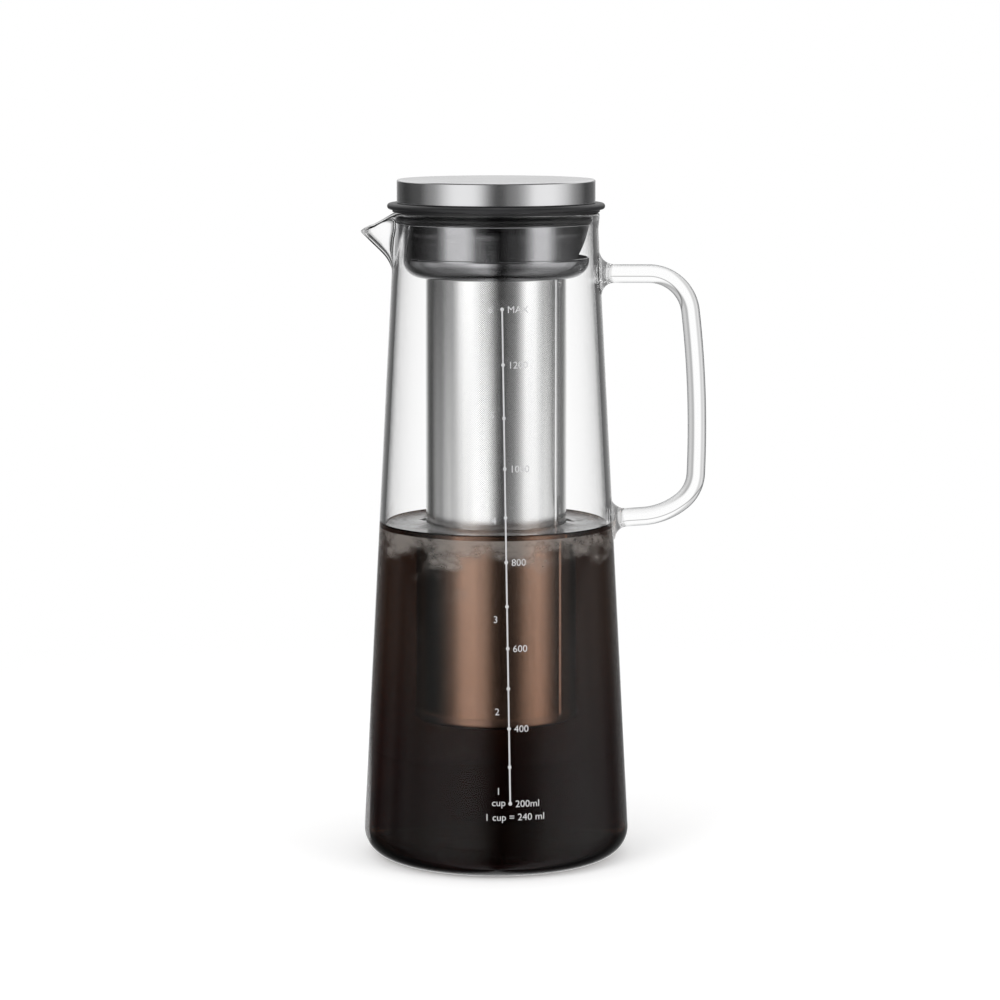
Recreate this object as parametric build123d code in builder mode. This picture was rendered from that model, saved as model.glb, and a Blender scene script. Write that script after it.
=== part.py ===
from build123d import *

import os
from math import asin, degrees

# Cold brew coffee maker: a conical glass carafe with a pulled spout and a rod handle, a steel lid that
# turns in a silicone seal, and a steel mesh filter that clips under the lid.
#
# Millimetres, +Z up. The origin is the centre of the carafe's flat base. The spout points to -X, the
# handle to +X, and the printed scale faces -Y.

# ---------------------------------------------------------------- driving dimensions
TOTAL_HEIGHT = 265.0
SHEET = 0.6  # steel sheet of the cap, the collar and the cup
# glass
BASE_RADIUS = 52.6  # of the cone, if it ran down to the table
NECK_RADIUS, NECK_Z = 39.55, 246.0
BASE_ROUND = 10.5
WALL, FLOOR = 2.2, 3.5
RIM_TOP = 252.4
RIM_RADIUS = 40.1  # outside of the fire-polished bead
MOUTH_RADIUS = 37.35
# spout
SPOUT_LOW_Z, SPOUT_LOW_REACH = 230.0, 37.4  # its tip line starts inside the wall
SPOUT_SLOPE = 1.032  # the tip moves out by this much per mm of height
SPOUT_BASE_X = -33.0
SPOUT_HALF_WIDTH, SPOUT_LOW_HALF_WIDTH = 15.5, 7.0
SPOUT_ROUND = 3.0
SPOUT_WALL = 2.3  # measured level; the wall is thinner across its slope
SPOUT_LIP = ((-36.9, 253.2), (-47.6, 247.1), (-50.4, 246.9), (-62.0, 236.3))  # profile of its edge
# handle
ROD_RADIUS = 3.6
TOP_BAR_Z = 228.45
TOP_BEND_X, TOP_BEND_RADIUS, TOP_BEND_ANGLE = 59.1, 16.4, 83.2
GRIP_RADIUS, GRIP_ANGLE = 401.0, 9.1
LOW_BEND_RADIUS, LOW_BEND_ANGLE = 14.7, 48.8
LOW_SWEEP_RADIUS, LOW_SWEEP_ANGLE = 27.0, 35.0
LOW_BAR = 14.0
FOOT_RADIUS, FOOT_LENGTH = 8.3, 5.4  # the flared feet where the rod is fused to the wall
# lid
CAP_RADIUS, CAP_CROWN, CAP_EDGE_ROUND = 38.4, 0.35, 1.0
CAP_BOTTOM, CAP_HEM = 255.9, 1.2
CORE_WALL, CORE_FLOOR = 2.0, 2.4
COLLAR_RADIUS, COLLAR_NECK_RADIUS = 36.1, 34.8
SHOULDER_Z = 248.5
WINDOW_HALF_WIDTH, WINDOW_TOP_HALF_WIDTH, WINDOW_TOP_Z = 20.3, 9.4, 247.5
WINDOW_ROUND = 2.0
SCREW_COUNT, SCREW_CIRCLE, SCREW_FIRST_ANGLE = 3, 20.0, 30.0
SCREW_RADIUS, SCREW_LENGTH, SCREW_HEAD_RADIUS, SCREW_HEAD = 1.5, 8.0, 3.5, 1.8
WASHER_RADIUS, WASHER = 4.2, 0.6
# seal
SEAL_RADIUS, SEAL_FLANGE = 42.1, 2.3
SEAL_CLEARANCE = 0.1  # between the silicone and the steel that turns in it
SEAL_SLEEVE_RADIUS = 36.2
SEAL_LIP_RADIUS, SEAL_LIP_Z, SEAL_LIP_HALF = 37.05, 250.2, 1.1
# filter
SEAM_Z, SEAM_GAP = 235.3, 0.2  # where the filter's cup meets the collar
CUP_ROUND, CUP_BOTTOM = 7.1, 227.2
CLIP_COUNT, CLIP_FIRST_ANGLE, CLIP_WIDTH, CLIP_SHEET = 3, 60.0, 8.0, 0.5
CLIP_TOP, CLIP_CLEARANCE, CLIP_FOOT_ANGLE = 242.6, 0.3, 50.0
MESH_RADIUS, MESH = 27.35, 0.4
HOOP, HOOP_HEIGHT, HOOP_FLANGE = 0.6, 4.5, 1.6
FILTER_BOTTOM = 54.4
PAN_SHEET, PAN_RIM, PAN_ROUND = 0.5, 4.0, 1.6
STRIP_ANGLE, STRIP_WIDTH, STRIP = -31.6, 3.2, 0.4  # the mesh's lap seam
# printed scale
PRINT, LINE_WIDTH, DOT_RADIUS = 0.12, 0.9, 0.85
SCALE_LOW, SCALE_HIGH = (5.4, 30.1), (2.3, 217.7)  # x and z of the line's ends
SCALE_HEIGHTS = (30.1, 44.1, 58.8, 74.1, 89.4, 105.4, 122.2, 139.1, 157.6, 176.7, 196.8, 217.7)

CONE_SLOPE = (BASE_RADIUS - NECK_RADIUS) / NECK_Z
SECTION = Plane.XZ  # its x is the radius and its y the height


def cone(z, inset=0.0):
    """Outer radius of the glass cone at height z, less an inset."""
    return BASE_RADIUS - CONE_SLOPE * z - inset


def arc_angle(width, radius):
    """Degrees that a strip of the given width takes on a circle of the given radius."""
    return 2 * degrees(asin(width / 2 / radius))


def section_at(middle_angle, arc):
    """Section plane at the start of a sector of the given arc about its middle angle."""
    return SECTION.rotated((0, 0, middle_angle - arc / 2))


def save(part, name):
    """Labels a finished piece and writes it."""
    part.label = name
    export_step(part, f"parts/{name}.step")


os.makedirs("parts", exist_ok=True)

# ================================================================ carafe
RIM_HALF = (RIM_RADIUS - MOUTH_RADIUS) / 2
RIM_SPRING_Z = RIM_TOP - RIM_HALF

with BuildPart() as filled_body:  # the outside of the glass, without its hollow
    with BuildSketch(SECTION) as body_profile:
        with BuildLine():
            Polyline((0, RIM_SPRING_Z), (0, 0), (cone(0), 0), (NECK_RADIUS, NECK_Z), (RIM_RADIUS, RIM_SPRING_Z))
            RadiusArc((RIM_RADIUS, RIM_SPRING_Z), (MOUTH_RADIUS, RIM_SPRING_Z), -RIM_HALF)
            Line((MOUTH_RADIUS, RIM_SPRING_Z), (0, RIM_SPRING_Z))
        make_face()
        fillet(body_profile.vertices().group_by(Axis.Y)[0].sort_by(Axis.X)[-1], BASE_ROUND)
    revolve(axis=Axis.Z)

with BuildPart() as hollow:  # the space inside the glass
    with BuildSketch(SECTION) as hollow_profile:
        with BuildLine():
            Polyline(
                (0, RIM_TOP + 1),
                (0, FLOOR),
                (cone(FLOOR, WALL), FLOOR),
                (MOUTH_RADIUS, NECK_Z - 2),
                (MOUTH_RADIUS, RIM_TOP + 1),
                close=True,
            )
        make_face()
        fillet(hollow_profile.vertices().group_by(Axis.Y)[0].sort_by(Axis.X)[-1], BASE_ROUND - WALL)
    revolve(axis=Axis.Z)


def spout_block(inset):
    """The spout as a filled block, its tip and sides moved in by inset."""
    top = RIM_TOP + 2
    reach = SPOUT_LOW_REACH + SPOUT_SLOPE * (top - SPOUT_LOW_Z)
    rounding = SPOUT_ROUND - inset * 0.4
    with BuildPart() as block:
        for z, tip, half in (
            (SPOUT_LOW_Z, SPOUT_LOW_REACH, SPOUT_LOW_HALF_WIDTH),
            (top, reach, SPOUT_HALF_WIDTH),
        ):
            with BuildSketch(Plane.XY.offset(z)):
                with Locations((rounding + inset - tip, 0)):
                    Circle(rounding)
                with BuildLine():
                    Line((SPOUT_BASE_X, inset * 0.8 - half), (SPOUT_BASE_X, half - inset * 0.8))
                make_hull()
        loft()
    return block.part


with BuildPart() as above_lip:  # what lies above the spout's sloping edge
    with BuildSketch(SECTION):
        with BuildLine():
            Polyline(*SPOUT_LIP, (SPOUT_LIP[-1][0], RIM_TOP + 9), (SPOUT_LIP[0][0], RIM_TOP + 9), close=True)
        make_face()
    extrude(amount=30, both=True)

with BuildPart() as carafe:
    add(filled_body)
    add(spout_block(0))
    with BuildSketch(Plane.XY.offset(RIM_TOP)):
        Circle(2 * BASE_RADIUS)
    extrude(amount=9, mode=Mode.SUBTRACT)
    add(hollow, mode=Mode.SUBTRACT)
    add(spout_block(SPOUT_WALL), mode=Mode.SUBTRACT)
    add(above_lip, mode=Mode.SUBTRACT)
save(carafe.part, "carafe")

# ================================================================ handle
with BuildPart() as handle:
    with BuildLine(SECTION) as rod_path:
        top_bar = Line((cone(TOP_BAR_Z, 1), TOP_BAR_Z), (TOP_BEND_X, TOP_BAR_Z))
        top_bend = JernArc(top_bar @ 1, top_bar % 1, TOP_BEND_RADIUS, -TOP_BEND_ANGLE)
        grip = JernArc(top_bend @ 1, top_bend % 1, GRIP_RADIUS, -GRIP_ANGLE)
        low_bend = JernArc(grip @ 1, grip % 1, LOW_BEND_RADIUS, -LOW_BEND_ANGLE)
        low_sweep = JernArc(low_bend @ 1, low_bend % 1, LOW_SWEEP_RADIUS, -LOW_SWEEP_ANGLE)
        low_bar = Line(low_sweep @ 1, low_sweep @ 1 + (low_sweep % 1) * LOW_BAR)
    with BuildSketch(Plane(origin=top_bar @ 0, z_dir=top_bar % 0)):
        Circle(ROD_RADIUS)
    sweep()
    for foot_z in (TOP_BAR_Z, (low_bar @ 1).Z):
        wall_x = cone(foot_z)
        with BuildSketch(SECTION):
            with BuildLine():
                trumpet_end, trumpet_start = (wall_x, foot_z + FOOT_RADIUS), (wall_x + FOOT_LENGTH, foot_z + ROD_RADIUS)
                TangentArc(trumpet_start, trumpet_end, tangent=(-1, 0))
                Polyline(
                    trumpet_end,
                    (wall_x - 3, foot_z + FOOT_RADIUS),
                    (wall_x - 3, foot_z),
                    (wall_x + FOOT_LENGTH, foot_z),
                    trumpet_start,
                )
            make_face()
        revolve(axis=Axis((0, 0, foot_z), (1, 0, 0)))
    add(filled_body, mode=Mode.SUBTRACT)
save(handle.part, "handle")

# ================================================================ printed scale
with BuildPart() as printed_scale:  # a thin coat on the cone, cut to the outline of the marks
    with BuildSketch(SECTION):
        with BuildLine():
            Polyline(
                (cone(20), 20), (cone(20, -PRINT), 20), (cone(230, -PRINT), 230), (cone(230), 230), close=True
            )
        make_face()
    revolve(axis=Axis.Z)
    with BuildSketch(SECTION):
        with BuildLine():
            Line(SCALE_LOW, SCALE_HIGH)
        trace(line_width=LINE_WIDTH)
        for z in SCALE_HEIGHTS:
            share = (z - SCALE_LOW[1]) / (SCALE_HIGH[1] - SCALE_LOW[1])
            with Locations((SCALE_LOW[0] + share * (SCALE_HIGH[0] - SCALE_LOW[0]), z)):
                Circle(DOT_RADIUS)
    extrude(amount=60, mode=Mode.INTERSECT)
save(printed_scale.part, "printed_scale")

# ================================================================ seal
SLEEVE_BOTTOM = SHOULDER_Z + SEAL_CLEARANCE
SEAL_BORE = COLLAR_NECK_RADIUS + SEAL_CLEARANCE
SEAL_TOP = CAP_BOTTOM - SEAL_CLEARANCE

with BuildPart() as mouth_seal:
    with BuildSketch(SECTION) as seal_profile:
        with BuildLine():
            Polyline(
                (SEAL_BORE, SLEEVE_BOTTOM),
                (SEAL_SLEEVE_RADIUS, SLEEVE_BOTTOM),
                (SEAL_LIP_RADIUS, SEAL_LIP_Z - SEAL_LIP_HALF * 0.4),
                (SEAL_LIP_RADIUS, SEAL_LIP_Z + SEAL_LIP_HALF * 0.4),
                (SEAL_SLEEVE_RADIUS, SEAL_LIP_Z + SEAL_LIP_HALF),
                (SEAL_SLEEVE_RADIUS, RIM_TOP),
                (RIM_RADIUS, RIM_TOP),
                (RIM_RADIUS, SEAL_TOP - SEAL_FLANGE),
                (SEAL_RADIUS, SEAL_TOP - SEAL_FLANGE),
                (SEAL_RADIUS, SEAL_TOP),
                (SEAL_BORE, SEAL_TOP),
                close=True,
            )
        make_face()
        fillet(seal_profile.vertices().group_by(Axis.X)[-1], SEAL_FLANGE * 0.35)
    revolve(axis=Axis.Z)
save(mouth_seal.part, "mouth_seal")

# ================================================================ lid
CAP_SIDE_TOP = TOTAL_HEIGHT - CAP_CROWN
CAP_INSIDE = CAP_RADIUS - SHEET
CORE_TOP = CAP_SIDE_TOP - SHEET - 0.1
CORE_RADIUS = CAP_INSIDE - 0.1
HEM_BORE = CAP_RADIUS - CAP_HEM

with BuildPart() as cap_shell:
    with BuildSketch(SECTION) as shell_profile:
        with BuildLine():
            TangentArc((0, TOTAL_HEIGHT), (CAP_RADIUS, CAP_SIDE_TOP), tangent=(1, 0))
            Polyline(
                (CAP_RADIUS, CAP_SIDE_TOP),
                (CAP_RADIUS, CAP_BOTTOM),
                (HEM_BORE, CAP_BOTTOM),
                (HEM_BORE, CAP_BOTTOM + SHEET),
                (CAP_INSIDE, CAP_BOTTOM + SHEET),
                (CAP_INSIDE, CAP_SIDE_TOP - SHEET),
            )
            TangentArc((0, TOTAL_HEIGHT - SHEET), (CAP_INSIDE, CAP_SIDE_TOP - SHEET), tangent=(1, 0))
            Line((0, TOTAL_HEIGHT - SHEET), (0, TOTAL_HEIGHT))
        make_face()
        outer_edge = shell_profile.vertices().group_by(Axis.X)[-1].sort_by(Axis.Y)
        fillet(outer_edge[-1], CAP_EDGE_ROUND)
        fillet(outer_edge[0], SHEET * 0.5)
        inner_edge = shell_profile.vertices().filter_by_position(Axis.X, CAP_INSIDE - 0.01, CAP_INSIDE + 0.01)
        fillet(inner_edge.sort_by(Axis.Y)[-1], CAP_EDGE_ROUND - SHEET)
    revolve(axis=Axis.Z)
save(cap_shell.part, "cap_shell")

with BuildPart() as cap_core:  # a moulded tray, open upwards under the steel cap
    with BuildSketch(Plane.XY.offset(CAP_BOTTOM)):
        Circle(HEM_BORE - 0.1)
    extrude(amount=SHEET)
    with BuildSketch(Plane.XY.offset(CAP_BOTTOM + SHEET)):
        Circle(CORE_RADIUS)
    extrude(until=None, amount=CORE_TOP - CAP_BOTTOM - SHEET)
    chamfer(cap_core.edges().group_by(Axis.Z)[-1], 0.7)
    with BuildSketch(Plane.XY.offset(CAP_BOTTOM + CORE_FLOOR)):
        Circle(CORE_RADIUS - CORE_WALL)
        with PolarLocations(SCREW_CIRCLE, SCREW_COUNT, SCREW_FIRST_ANGLE):
            Circle(SCREW_HEAD_RADIUS, mode=Mode.SUBTRACT)
    extrude(amount=CORE_TOP - CAP_BOTTOM, mode=Mode.SUBTRACT)
    with BuildSketch(Plane.XY.offset(CAP_BOTTOM)):
        with PolarLocations(SCREW_CIRCLE, SCREW_COUNT, SCREW_FIRST_ANGLE):
            Circle(SCREW_RADIUS)
    extrude(amount=SCREW_LENGTH - 1.5, mode=Mode.SUBTRACT)
save(cap_core.part, "cap_core")

with BuildPart() as collar:  # an upturned cup with a window in its skirt
    with BuildSketch(SECTION) as collar_profile:
        with BuildLine():
            Polyline(
                (0, CAP_BOTTOM),
                (COLLAR_NECK_RADIUS, CAP_BOTTOM),
                (COLLAR_NECK_RADIUS, SHOULDER_Z),
                (COLLAR_RADIUS, SHOULDER_Z),
                (COLLAR_RADIUS, SEAM_Z),
                (COLLAR_RADIUS - SHEET, SEAM_Z),
                (COLLAR_RADIUS - SHEET, SHOULDER_Z - SHEET),
                (COLLAR_NECK_RADIUS - SHEET, SHOULDER_Z - SHEET),
                (COLLAR_NECK_RADIUS - SHEET, CAP_BOTTOM - SHEET),
                (0, CAP_BOTTOM - SHEET),
                close=True,
            )
        make_face()
        fillet(collar_profile.vertices().group_by(Axis.X)[-1].sort_by(Axis.Y)[-1], SHEET * 0.8)
    revolve(axis=Axis.Z)
    with BuildSketch(Plane.YZ.offset(COLLAR_RADIUS / 2)) as window:
        with BuildLine():
            Polyline(
                (-WINDOW_HALF_WIDTH, SEAM_Z - 0.1),
                (-WINDOW_TOP_HALF_WIDTH, WINDOW_TOP_Z),
                (WINDOW_TOP_HALF_WIDTH, WINDOW_TOP_Z),
                (WINDOW_HALF_WIDTH, SEAM_Z - 0.1),
                close=True,
            )
        make_face()
        fillet(window.vertices().group_by(Axis.Y)[-1], WINDOW_ROUND)
    extrude(amount=COLLAR_RADIUS, mode=Mode.SUBTRACT)
    with BuildSketch(Plane.XY.offset(CAP_BOTTOM)):
        with PolarLocations(SCREW_CIRCLE, SCREW_COUNT, SCREW_FIRST_ANGLE):
            Circle(SCREW_RADIUS + 0.2)
    extrude(amount=-2 * SHEET, mode=Mode.SUBTRACT)
save(collar.part, "collar")

WASHER_TOP = CAP_BOTTOM - SHEET
HEAD_TOP = WASHER_TOP - WASHER

with BuildPart() as lid_screws:
    with BuildSketch(Plane.XY.offset(HEAD_TOP - SCREW_HEAD)):
        with PolarLocations(SCREW_CIRCLE, SCREW_COUNT, SCREW_FIRST_ANGLE):
            Circle(SCREW_HEAD_RADIUS)
    extrude(amount=SCREW_HEAD)
    fillet(lid_screws.edges().group_by(Axis.Z)[0], SCREW_HEAD * 0.5)
    with BuildSketch(Plane.XY.offset(HEAD_TOP)):
        with PolarLocations(SCREW_CIRCLE, SCREW_COUNT, SCREW_FIRST_ANGLE):
            Circle(SCREW_RADIUS)
    extrude(amount=SCREW_LENGTH - 1)
    with BuildSketch(Plane.XY.offset(HEAD_TOP - SCREW_HEAD)):
        with PolarLocations(SCREW_CIRCLE, SCREW_COUNT, SCREW_FIRST_ANGLE):
            SlotOverall(SCREW_HEAD_RADIUS, 0.7)
            SlotOverall(SCREW_HEAD_RADIUS, 0.7, rotation=90)
    extrude(amount=SCREW_HEAD * 0.6, mode=Mode.SUBTRACT)
save(lid_screws.part, "lid_screws")

with BuildPart() as screw_washers:
    with BuildSketch(Plane.XY.offset(HEAD_TOP)):
        with PolarLocations(SCREW_CIRCLE, SCREW_COUNT, SCREW_FIRST_ANGLE):
            Circle(WASHER_RADIUS)
            Circle(SCREW_RADIUS, mode=Mode.SUBTRACT)
    extrude(amount=WASHER)
save(screw_washers.part, "screw_washers")

# ================================================================ filter
CUP_TOP = SEAM_Z - SEAM_GAP
CUP_CENTRE = (COLLAR_RADIUS - CUP_ROUND, CUP_BOTTOM + CUP_ROUND)  # of its quarter round
CUP_FLOOR = CUP_BOTTOM + SHEET
CUP_BORE = MESH_RADIUS + 0.05
CUP_INSIDE_ROUND = CUP_ROUND - SHEET

with BuildPart() as filter_cup:
    with BuildSketch(SECTION):
        with BuildLine():
            Polyline((CUP_BORE, CUP_FLOOR), (CUP_BORE, CUP_BOTTOM), (CUP_CENTRE[0], CUP_BOTTOM))
            RadiusArc((CUP_CENTRE[0], CUP_BOTTOM), (COLLAR_RADIUS, CUP_CENTRE[1]), -CUP_ROUND)
            Polyline(
                (COLLAR_RADIUS, CUP_CENTRE[1]),
                (COLLAR_RADIUS, CUP_TOP),
                (COLLAR_RADIUS - SHEET, CUP_TOP),
                (COLLAR_RADIUS - SHEET, CUP_CENTRE[1]),
            )
            RadiusArc((CUP_CENTRE[0], CUP_FLOOR), (COLLAR_RADIUS - SHEET, CUP_CENTRE[1]), -CUP_INSIDE_ROUND)
            Line((CUP_CENTRE[0], CUP_FLOOR), (CUP_BORE, CUP_FLOOR))
        make_face()
    revolve(axis=Axis.Z)
save(filter_cup.part, "filter_cup")

CLIP_ARC = arc_angle(CLIP_WIDTH, COLLAR_RADIUS)
CLIP_OUTER = COLLAR_RADIUS - SHEET - CLIP_CLEARANCE

with BuildPart() as filter_clips:  # spring tongues from the cup's curve up into the collar
    for index in range(CLIP_COUNT):
        clip_angle = CLIP_FIRST_ANGLE + index * 360 / CLIP_COUNT
        with BuildSketch(section_at(clip_angle, CLIP_ARC)):
            with BuildLine():
                CenterArc(CUP_CENTRE, CUP_INSIDE_ROUND - CLIP_SHEET / 2, -CLIP_FOOT_ANGLE, CLIP_FOOT_ANGLE)
                Polyline(
                    (COLLAR_RADIUS - SHEET - CLIP_SHEET / 2, CUP_CENTRE[1]),
                    (CLIP_OUTER - CLIP_SHEET / 2, CUP_TOP + 0.4),
                    (CLIP_OUTER - CLIP_SHEET / 2, CLIP_TOP - 3),
                    (CLIP_OUTER - CLIP_SHEET * 2.5, CLIP_TOP),
                )
            trace(line_width=CLIP_SHEET)
        revolve(axis=Axis.Z, revolution_arc=CLIP_ARC)
save(filter_clips.part, "filter_clips")

MESH_BORE = MESH_RADIUS - MESH
PAN_TOP = FILTER_BOTTOM + PAN_SHEET

with BuildPart() as filter_mesh:
    with BuildSketch(Plane.XY.offset(PAN_TOP)):
        Circle(MESH_RADIUS)
        Circle(MESH_BORE, mode=Mode.SUBTRACT)
    extrude(amount=CUP_FLOOR - PAN_TOP)
save(filter_mesh.part, "filter_mesh")

STRIP_ARC = arc_angle(STRIP_WIDTH, MESH_RADIUS)

with BuildPart() as filter_seam_strip:
    with BuildSketch(section_at(STRIP_ANGLE, STRIP_ARC)):
        with BuildLine():
            Polyline(
                (MESH_RADIUS, FILTER_BOTTOM + PAN_RIM + 0.2),
                (MESH_RADIUS + STRIP, FILTER_BOTTOM + PAN_RIM + 0.2),
                (MESH_RADIUS + STRIP, CUP_BOTTOM),
                (MESH_RADIUS, CUP_BOTTOM),
                close=True,
            )
        make_face()
    revolve(axis=Axis.Z, revolution_arc=STRIP_ARC)
save(filter_seam_strip.part, "filter_seam_strip")

with BuildPart() as filter_top_hoop:  # its flange hangs the mesh on the cup's floor
    with BuildSketch(Plane.XY.offset(CUP_FLOOR - HOOP_HEIGHT)):
        Circle(MESH_BORE)
    extrude(amount=HOOP_HEIGHT)
    with BuildSketch(Plane.XY.offset(CUP_FLOOR)):
        Circle(MESH_RADIUS + HOOP_FLANGE)
    extrude(amount=HOOP)
    with BuildSketch(Plane.XY.offset(CUP_FLOOR - HOOP_HEIGHT)):
        Circle(MESH_BORE - HOOP)
    extrude(amount=2 * HOOP_HEIGHT, mode=Mode.SUBTRACT)
save(filter_top_hoop.part, "filter_top_hoop")

with BuildPart() as filter_pan:
    with BuildSketch(Plane.XY.offset(FILTER_BOTTOM)):
        Circle(MESH_RADIUS + PAN_SHEET)
    extrude(amount=PAN_RIM)
    fillet(filter_pan.edges().group_by(Axis.Z)[0], PAN_ROUND)
    with BuildSketch(Plane.XY.offset(PAN_TOP)):
        Circle(MESH_RADIUS)
    extrude(amount=PAN_RIM, mode=Mode.SUBTRACT)
save(filter_pan.part, "filter_pan")

with BuildPart() as filter_low_hoop:
    with BuildSketch(Plane.XY.offset(PAN_TOP)):
        Circle(MESH_BORE)
        Circle(MESH_BORE - HOOP, mode=Mode.SUBTRACT)
    extrude(amount=HOOP_HEIGHT)
save(filter_low_hoop.part, "filter_low_hoop")
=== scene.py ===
"""Looks of a cold brew coffee maker: a glass carafe, a steel lid in a silicone seal, and a mesh filter.

Lengths are millimetres until a surface becomes a mesh, which is in metres. The base's centre is the origin,
the spout points to -X, the handle to +X, and the printed scale faces -Y.
"""

import logging
from dataclasses import dataclass
from enum import Enum
from math import radians, tau
from typing import Any, ClassVar, Sequence

import bpy
import numpy as np
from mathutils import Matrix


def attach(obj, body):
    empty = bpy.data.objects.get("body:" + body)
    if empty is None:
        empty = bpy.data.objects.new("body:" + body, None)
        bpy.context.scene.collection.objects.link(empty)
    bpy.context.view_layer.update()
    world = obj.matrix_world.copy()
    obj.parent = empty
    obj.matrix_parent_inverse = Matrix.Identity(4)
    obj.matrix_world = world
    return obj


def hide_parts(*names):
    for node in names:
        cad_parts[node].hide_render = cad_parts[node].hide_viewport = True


Array = np.ndarray
Colour = tuple[float, float, float]
Span = tuple[float, float]  # where a change begins and ends
Grain = tuple[float, float]  # per metre, across and upwards
Stop = tuple[float, float]  # a ramp's position and grey
Corner = tuple[float, float, float]  # x, y and radius
Point = tuple[float, float, float]

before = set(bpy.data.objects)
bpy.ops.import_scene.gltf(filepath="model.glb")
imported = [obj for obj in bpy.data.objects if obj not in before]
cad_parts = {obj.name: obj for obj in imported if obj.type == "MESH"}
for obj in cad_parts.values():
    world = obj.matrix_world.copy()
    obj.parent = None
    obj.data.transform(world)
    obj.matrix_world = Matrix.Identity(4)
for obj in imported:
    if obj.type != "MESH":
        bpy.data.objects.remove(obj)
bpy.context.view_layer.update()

log = logging.getLogger("coffee_maker")
MM = 0.001
WHITE = (1.0, 1.0, 1.0)
BLACK = (0.0, 0.0, 0.0)

# Sizes that several parts share: the cone of the glass wall, the coffee's top and the mesh tube.
BASE_RADIUS = 52.6
NECK_RADIUS = 39.55
NECK_Z = 246.0
CONE_FALL = (BASE_RADIUS - NECK_RADIUS) / NECK_Z
BREW_TOP = 130.6
MESH_RADIUS = 27.35

SHARP_DEGREES = 38.0  # edges that turn more than this stay sharp
FINE_CIRCLE = 224  # steps of a circle whose edge is seen close

# Limits for the number of clear faces that a ray has come through.
BENT = 0.5  # any face at all
INNER = 2.5  # both faces of the wall
DEEP = 4.5  # the wall, and the coffee


class Body(Enum):
    """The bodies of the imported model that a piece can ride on."""

    CARAFE = "carafe"
    SEAL = "seal"
    LID = "lid"
    FILTER = "filter"


class Slot(Enum):
    """The record's material slots, which the new pieces name."""

    GLASS = "clear_glass"
    PRINT = "white_print"
    SILICONE = "black_silicone"
    STEEL = "brushed_steel"
    MESH = "steel_mesh"


class Side(Enum):
    """The side of a word that stands at its anchor."""

    LEFT = "LEFT"
    CENTRE = "CENTER"
    RIGHT = "RIGHT"


def grey(value: float) -> Colour:
    """The grey of a brightness."""
    return (value, value, value)


def cone_radius(z: Array | float, inset: float = 0.0) -> Array | float:
    """The outer radius of the glass cone at a height, less an inset; it falls evenly from base to neck."""
    return BASE_RADIUS - CONE_FALL * z - inset


# --------------------------------------------------------------------------------- shader arithmetic
class Wire:
    """An output socket of a shader node, with Python arithmetic on its value."""

    def __init__(self, sheet: "NodeSheet", socket: bpy.types.NodeSocket | None) -> None:
        """Wraps an output socket of the sheet, or None for a node that has no output."""
        self.sheet = sheet
        self.socket = socket

    def math(self, operation: str, *others: "Value", first: "Value" = None) -> "Wire":
        """A Math node on this value and the others, with one before it where the order is turned round."""
        operands = (self, *others) if first is None else (first, self, *others)
        return self.sheet.add("ShaderNodeMath", {"operation": operation}, dict(enumerate(operands)))

    def __add__(self, other: "Value") -> "Wire":
        """This value plus the other."""
        return self.math("ADD", other)

    def __radd__(self, other: "Value") -> "Wire":
        """The other value plus this one."""
        return self.math("ADD", first=other)

    def __sub__(self, other: "Value") -> "Wire":
        """This value less the other."""
        return self.math("SUBTRACT", other)

    def __rsub__(self, other: "Value") -> "Wire":
        """The other value less this one."""
        return self.math("SUBTRACT", first=other)

    def __mul__(self, other: "Value") -> "Wire":
        """This value times the other."""
        return self.math("MULTIPLY", other)

    def __rmul__(self, other: "Value") -> "Wire":
        """The other value times this one."""
        return self.math("MULTIPLY", first=other)

    def __truediv__(self, other: "Value") -> "Wire":
        """This value over the other."""
        return self.math("DIVIDE", other)

    def __rtruediv__(self, other: "Value") -> "Wire":
        """The other value over this one."""
        return self.math("DIVIDE", first=other)

    def __neg__(self) -> "Wire":
        """The value with its sign turned."""
        return self.math("MULTIPLY", -1.0)

    def __abs__(self) -> "Wire":
        """The value without its sign."""
        return self.math("ABSOLUTE")

    def __gt__(self, other: "Value") -> "Wire":
        """1 where this value is above the other, and 0 elsewhere."""
        return self.math("GREATER_THAN", other)

    def __lt__(self, other: "Value") -> "Wire":
        """1 where this value is below the other, and 0 elsewhere."""
        return self.math("LESS_THAN", other)

    def squared(self) -> "Wire":
        """The value times itself."""
        return self.math("MULTIPLY", self)

    def root(self) -> "Wire":
        """The square root of the value."""
        return self.math("SQRT")

    def sin(self) -> "Wire":
        """The sine of the value in radians."""
        return self.math("SINE")

    def least(self, other: "Value") -> "Wire":
        """The smaller of this value and the other."""
        return self.math("MINIMUM", other)

    def most(self, other: "Value") -> "Wire":
        """The larger of this value and the other."""
        return self.math("MAXIMUM", other)

    def step(self, low: float, high: float, to_low: float = 0.0, to_high: float = 1.0) -> "Wire":
        """A step from one result to the other: the cubic 3t^2 - 2t^3 of the share t from low to high."""
        inputs = {0: self, 1: low, 2: high, 3: to_low, 4: to_high}
        return self.sheet.add("ShaderNodeMapRange", {"interpolation_type": "SMOOTHSTEP"}, inputs)


Value = Wire | float | None


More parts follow.
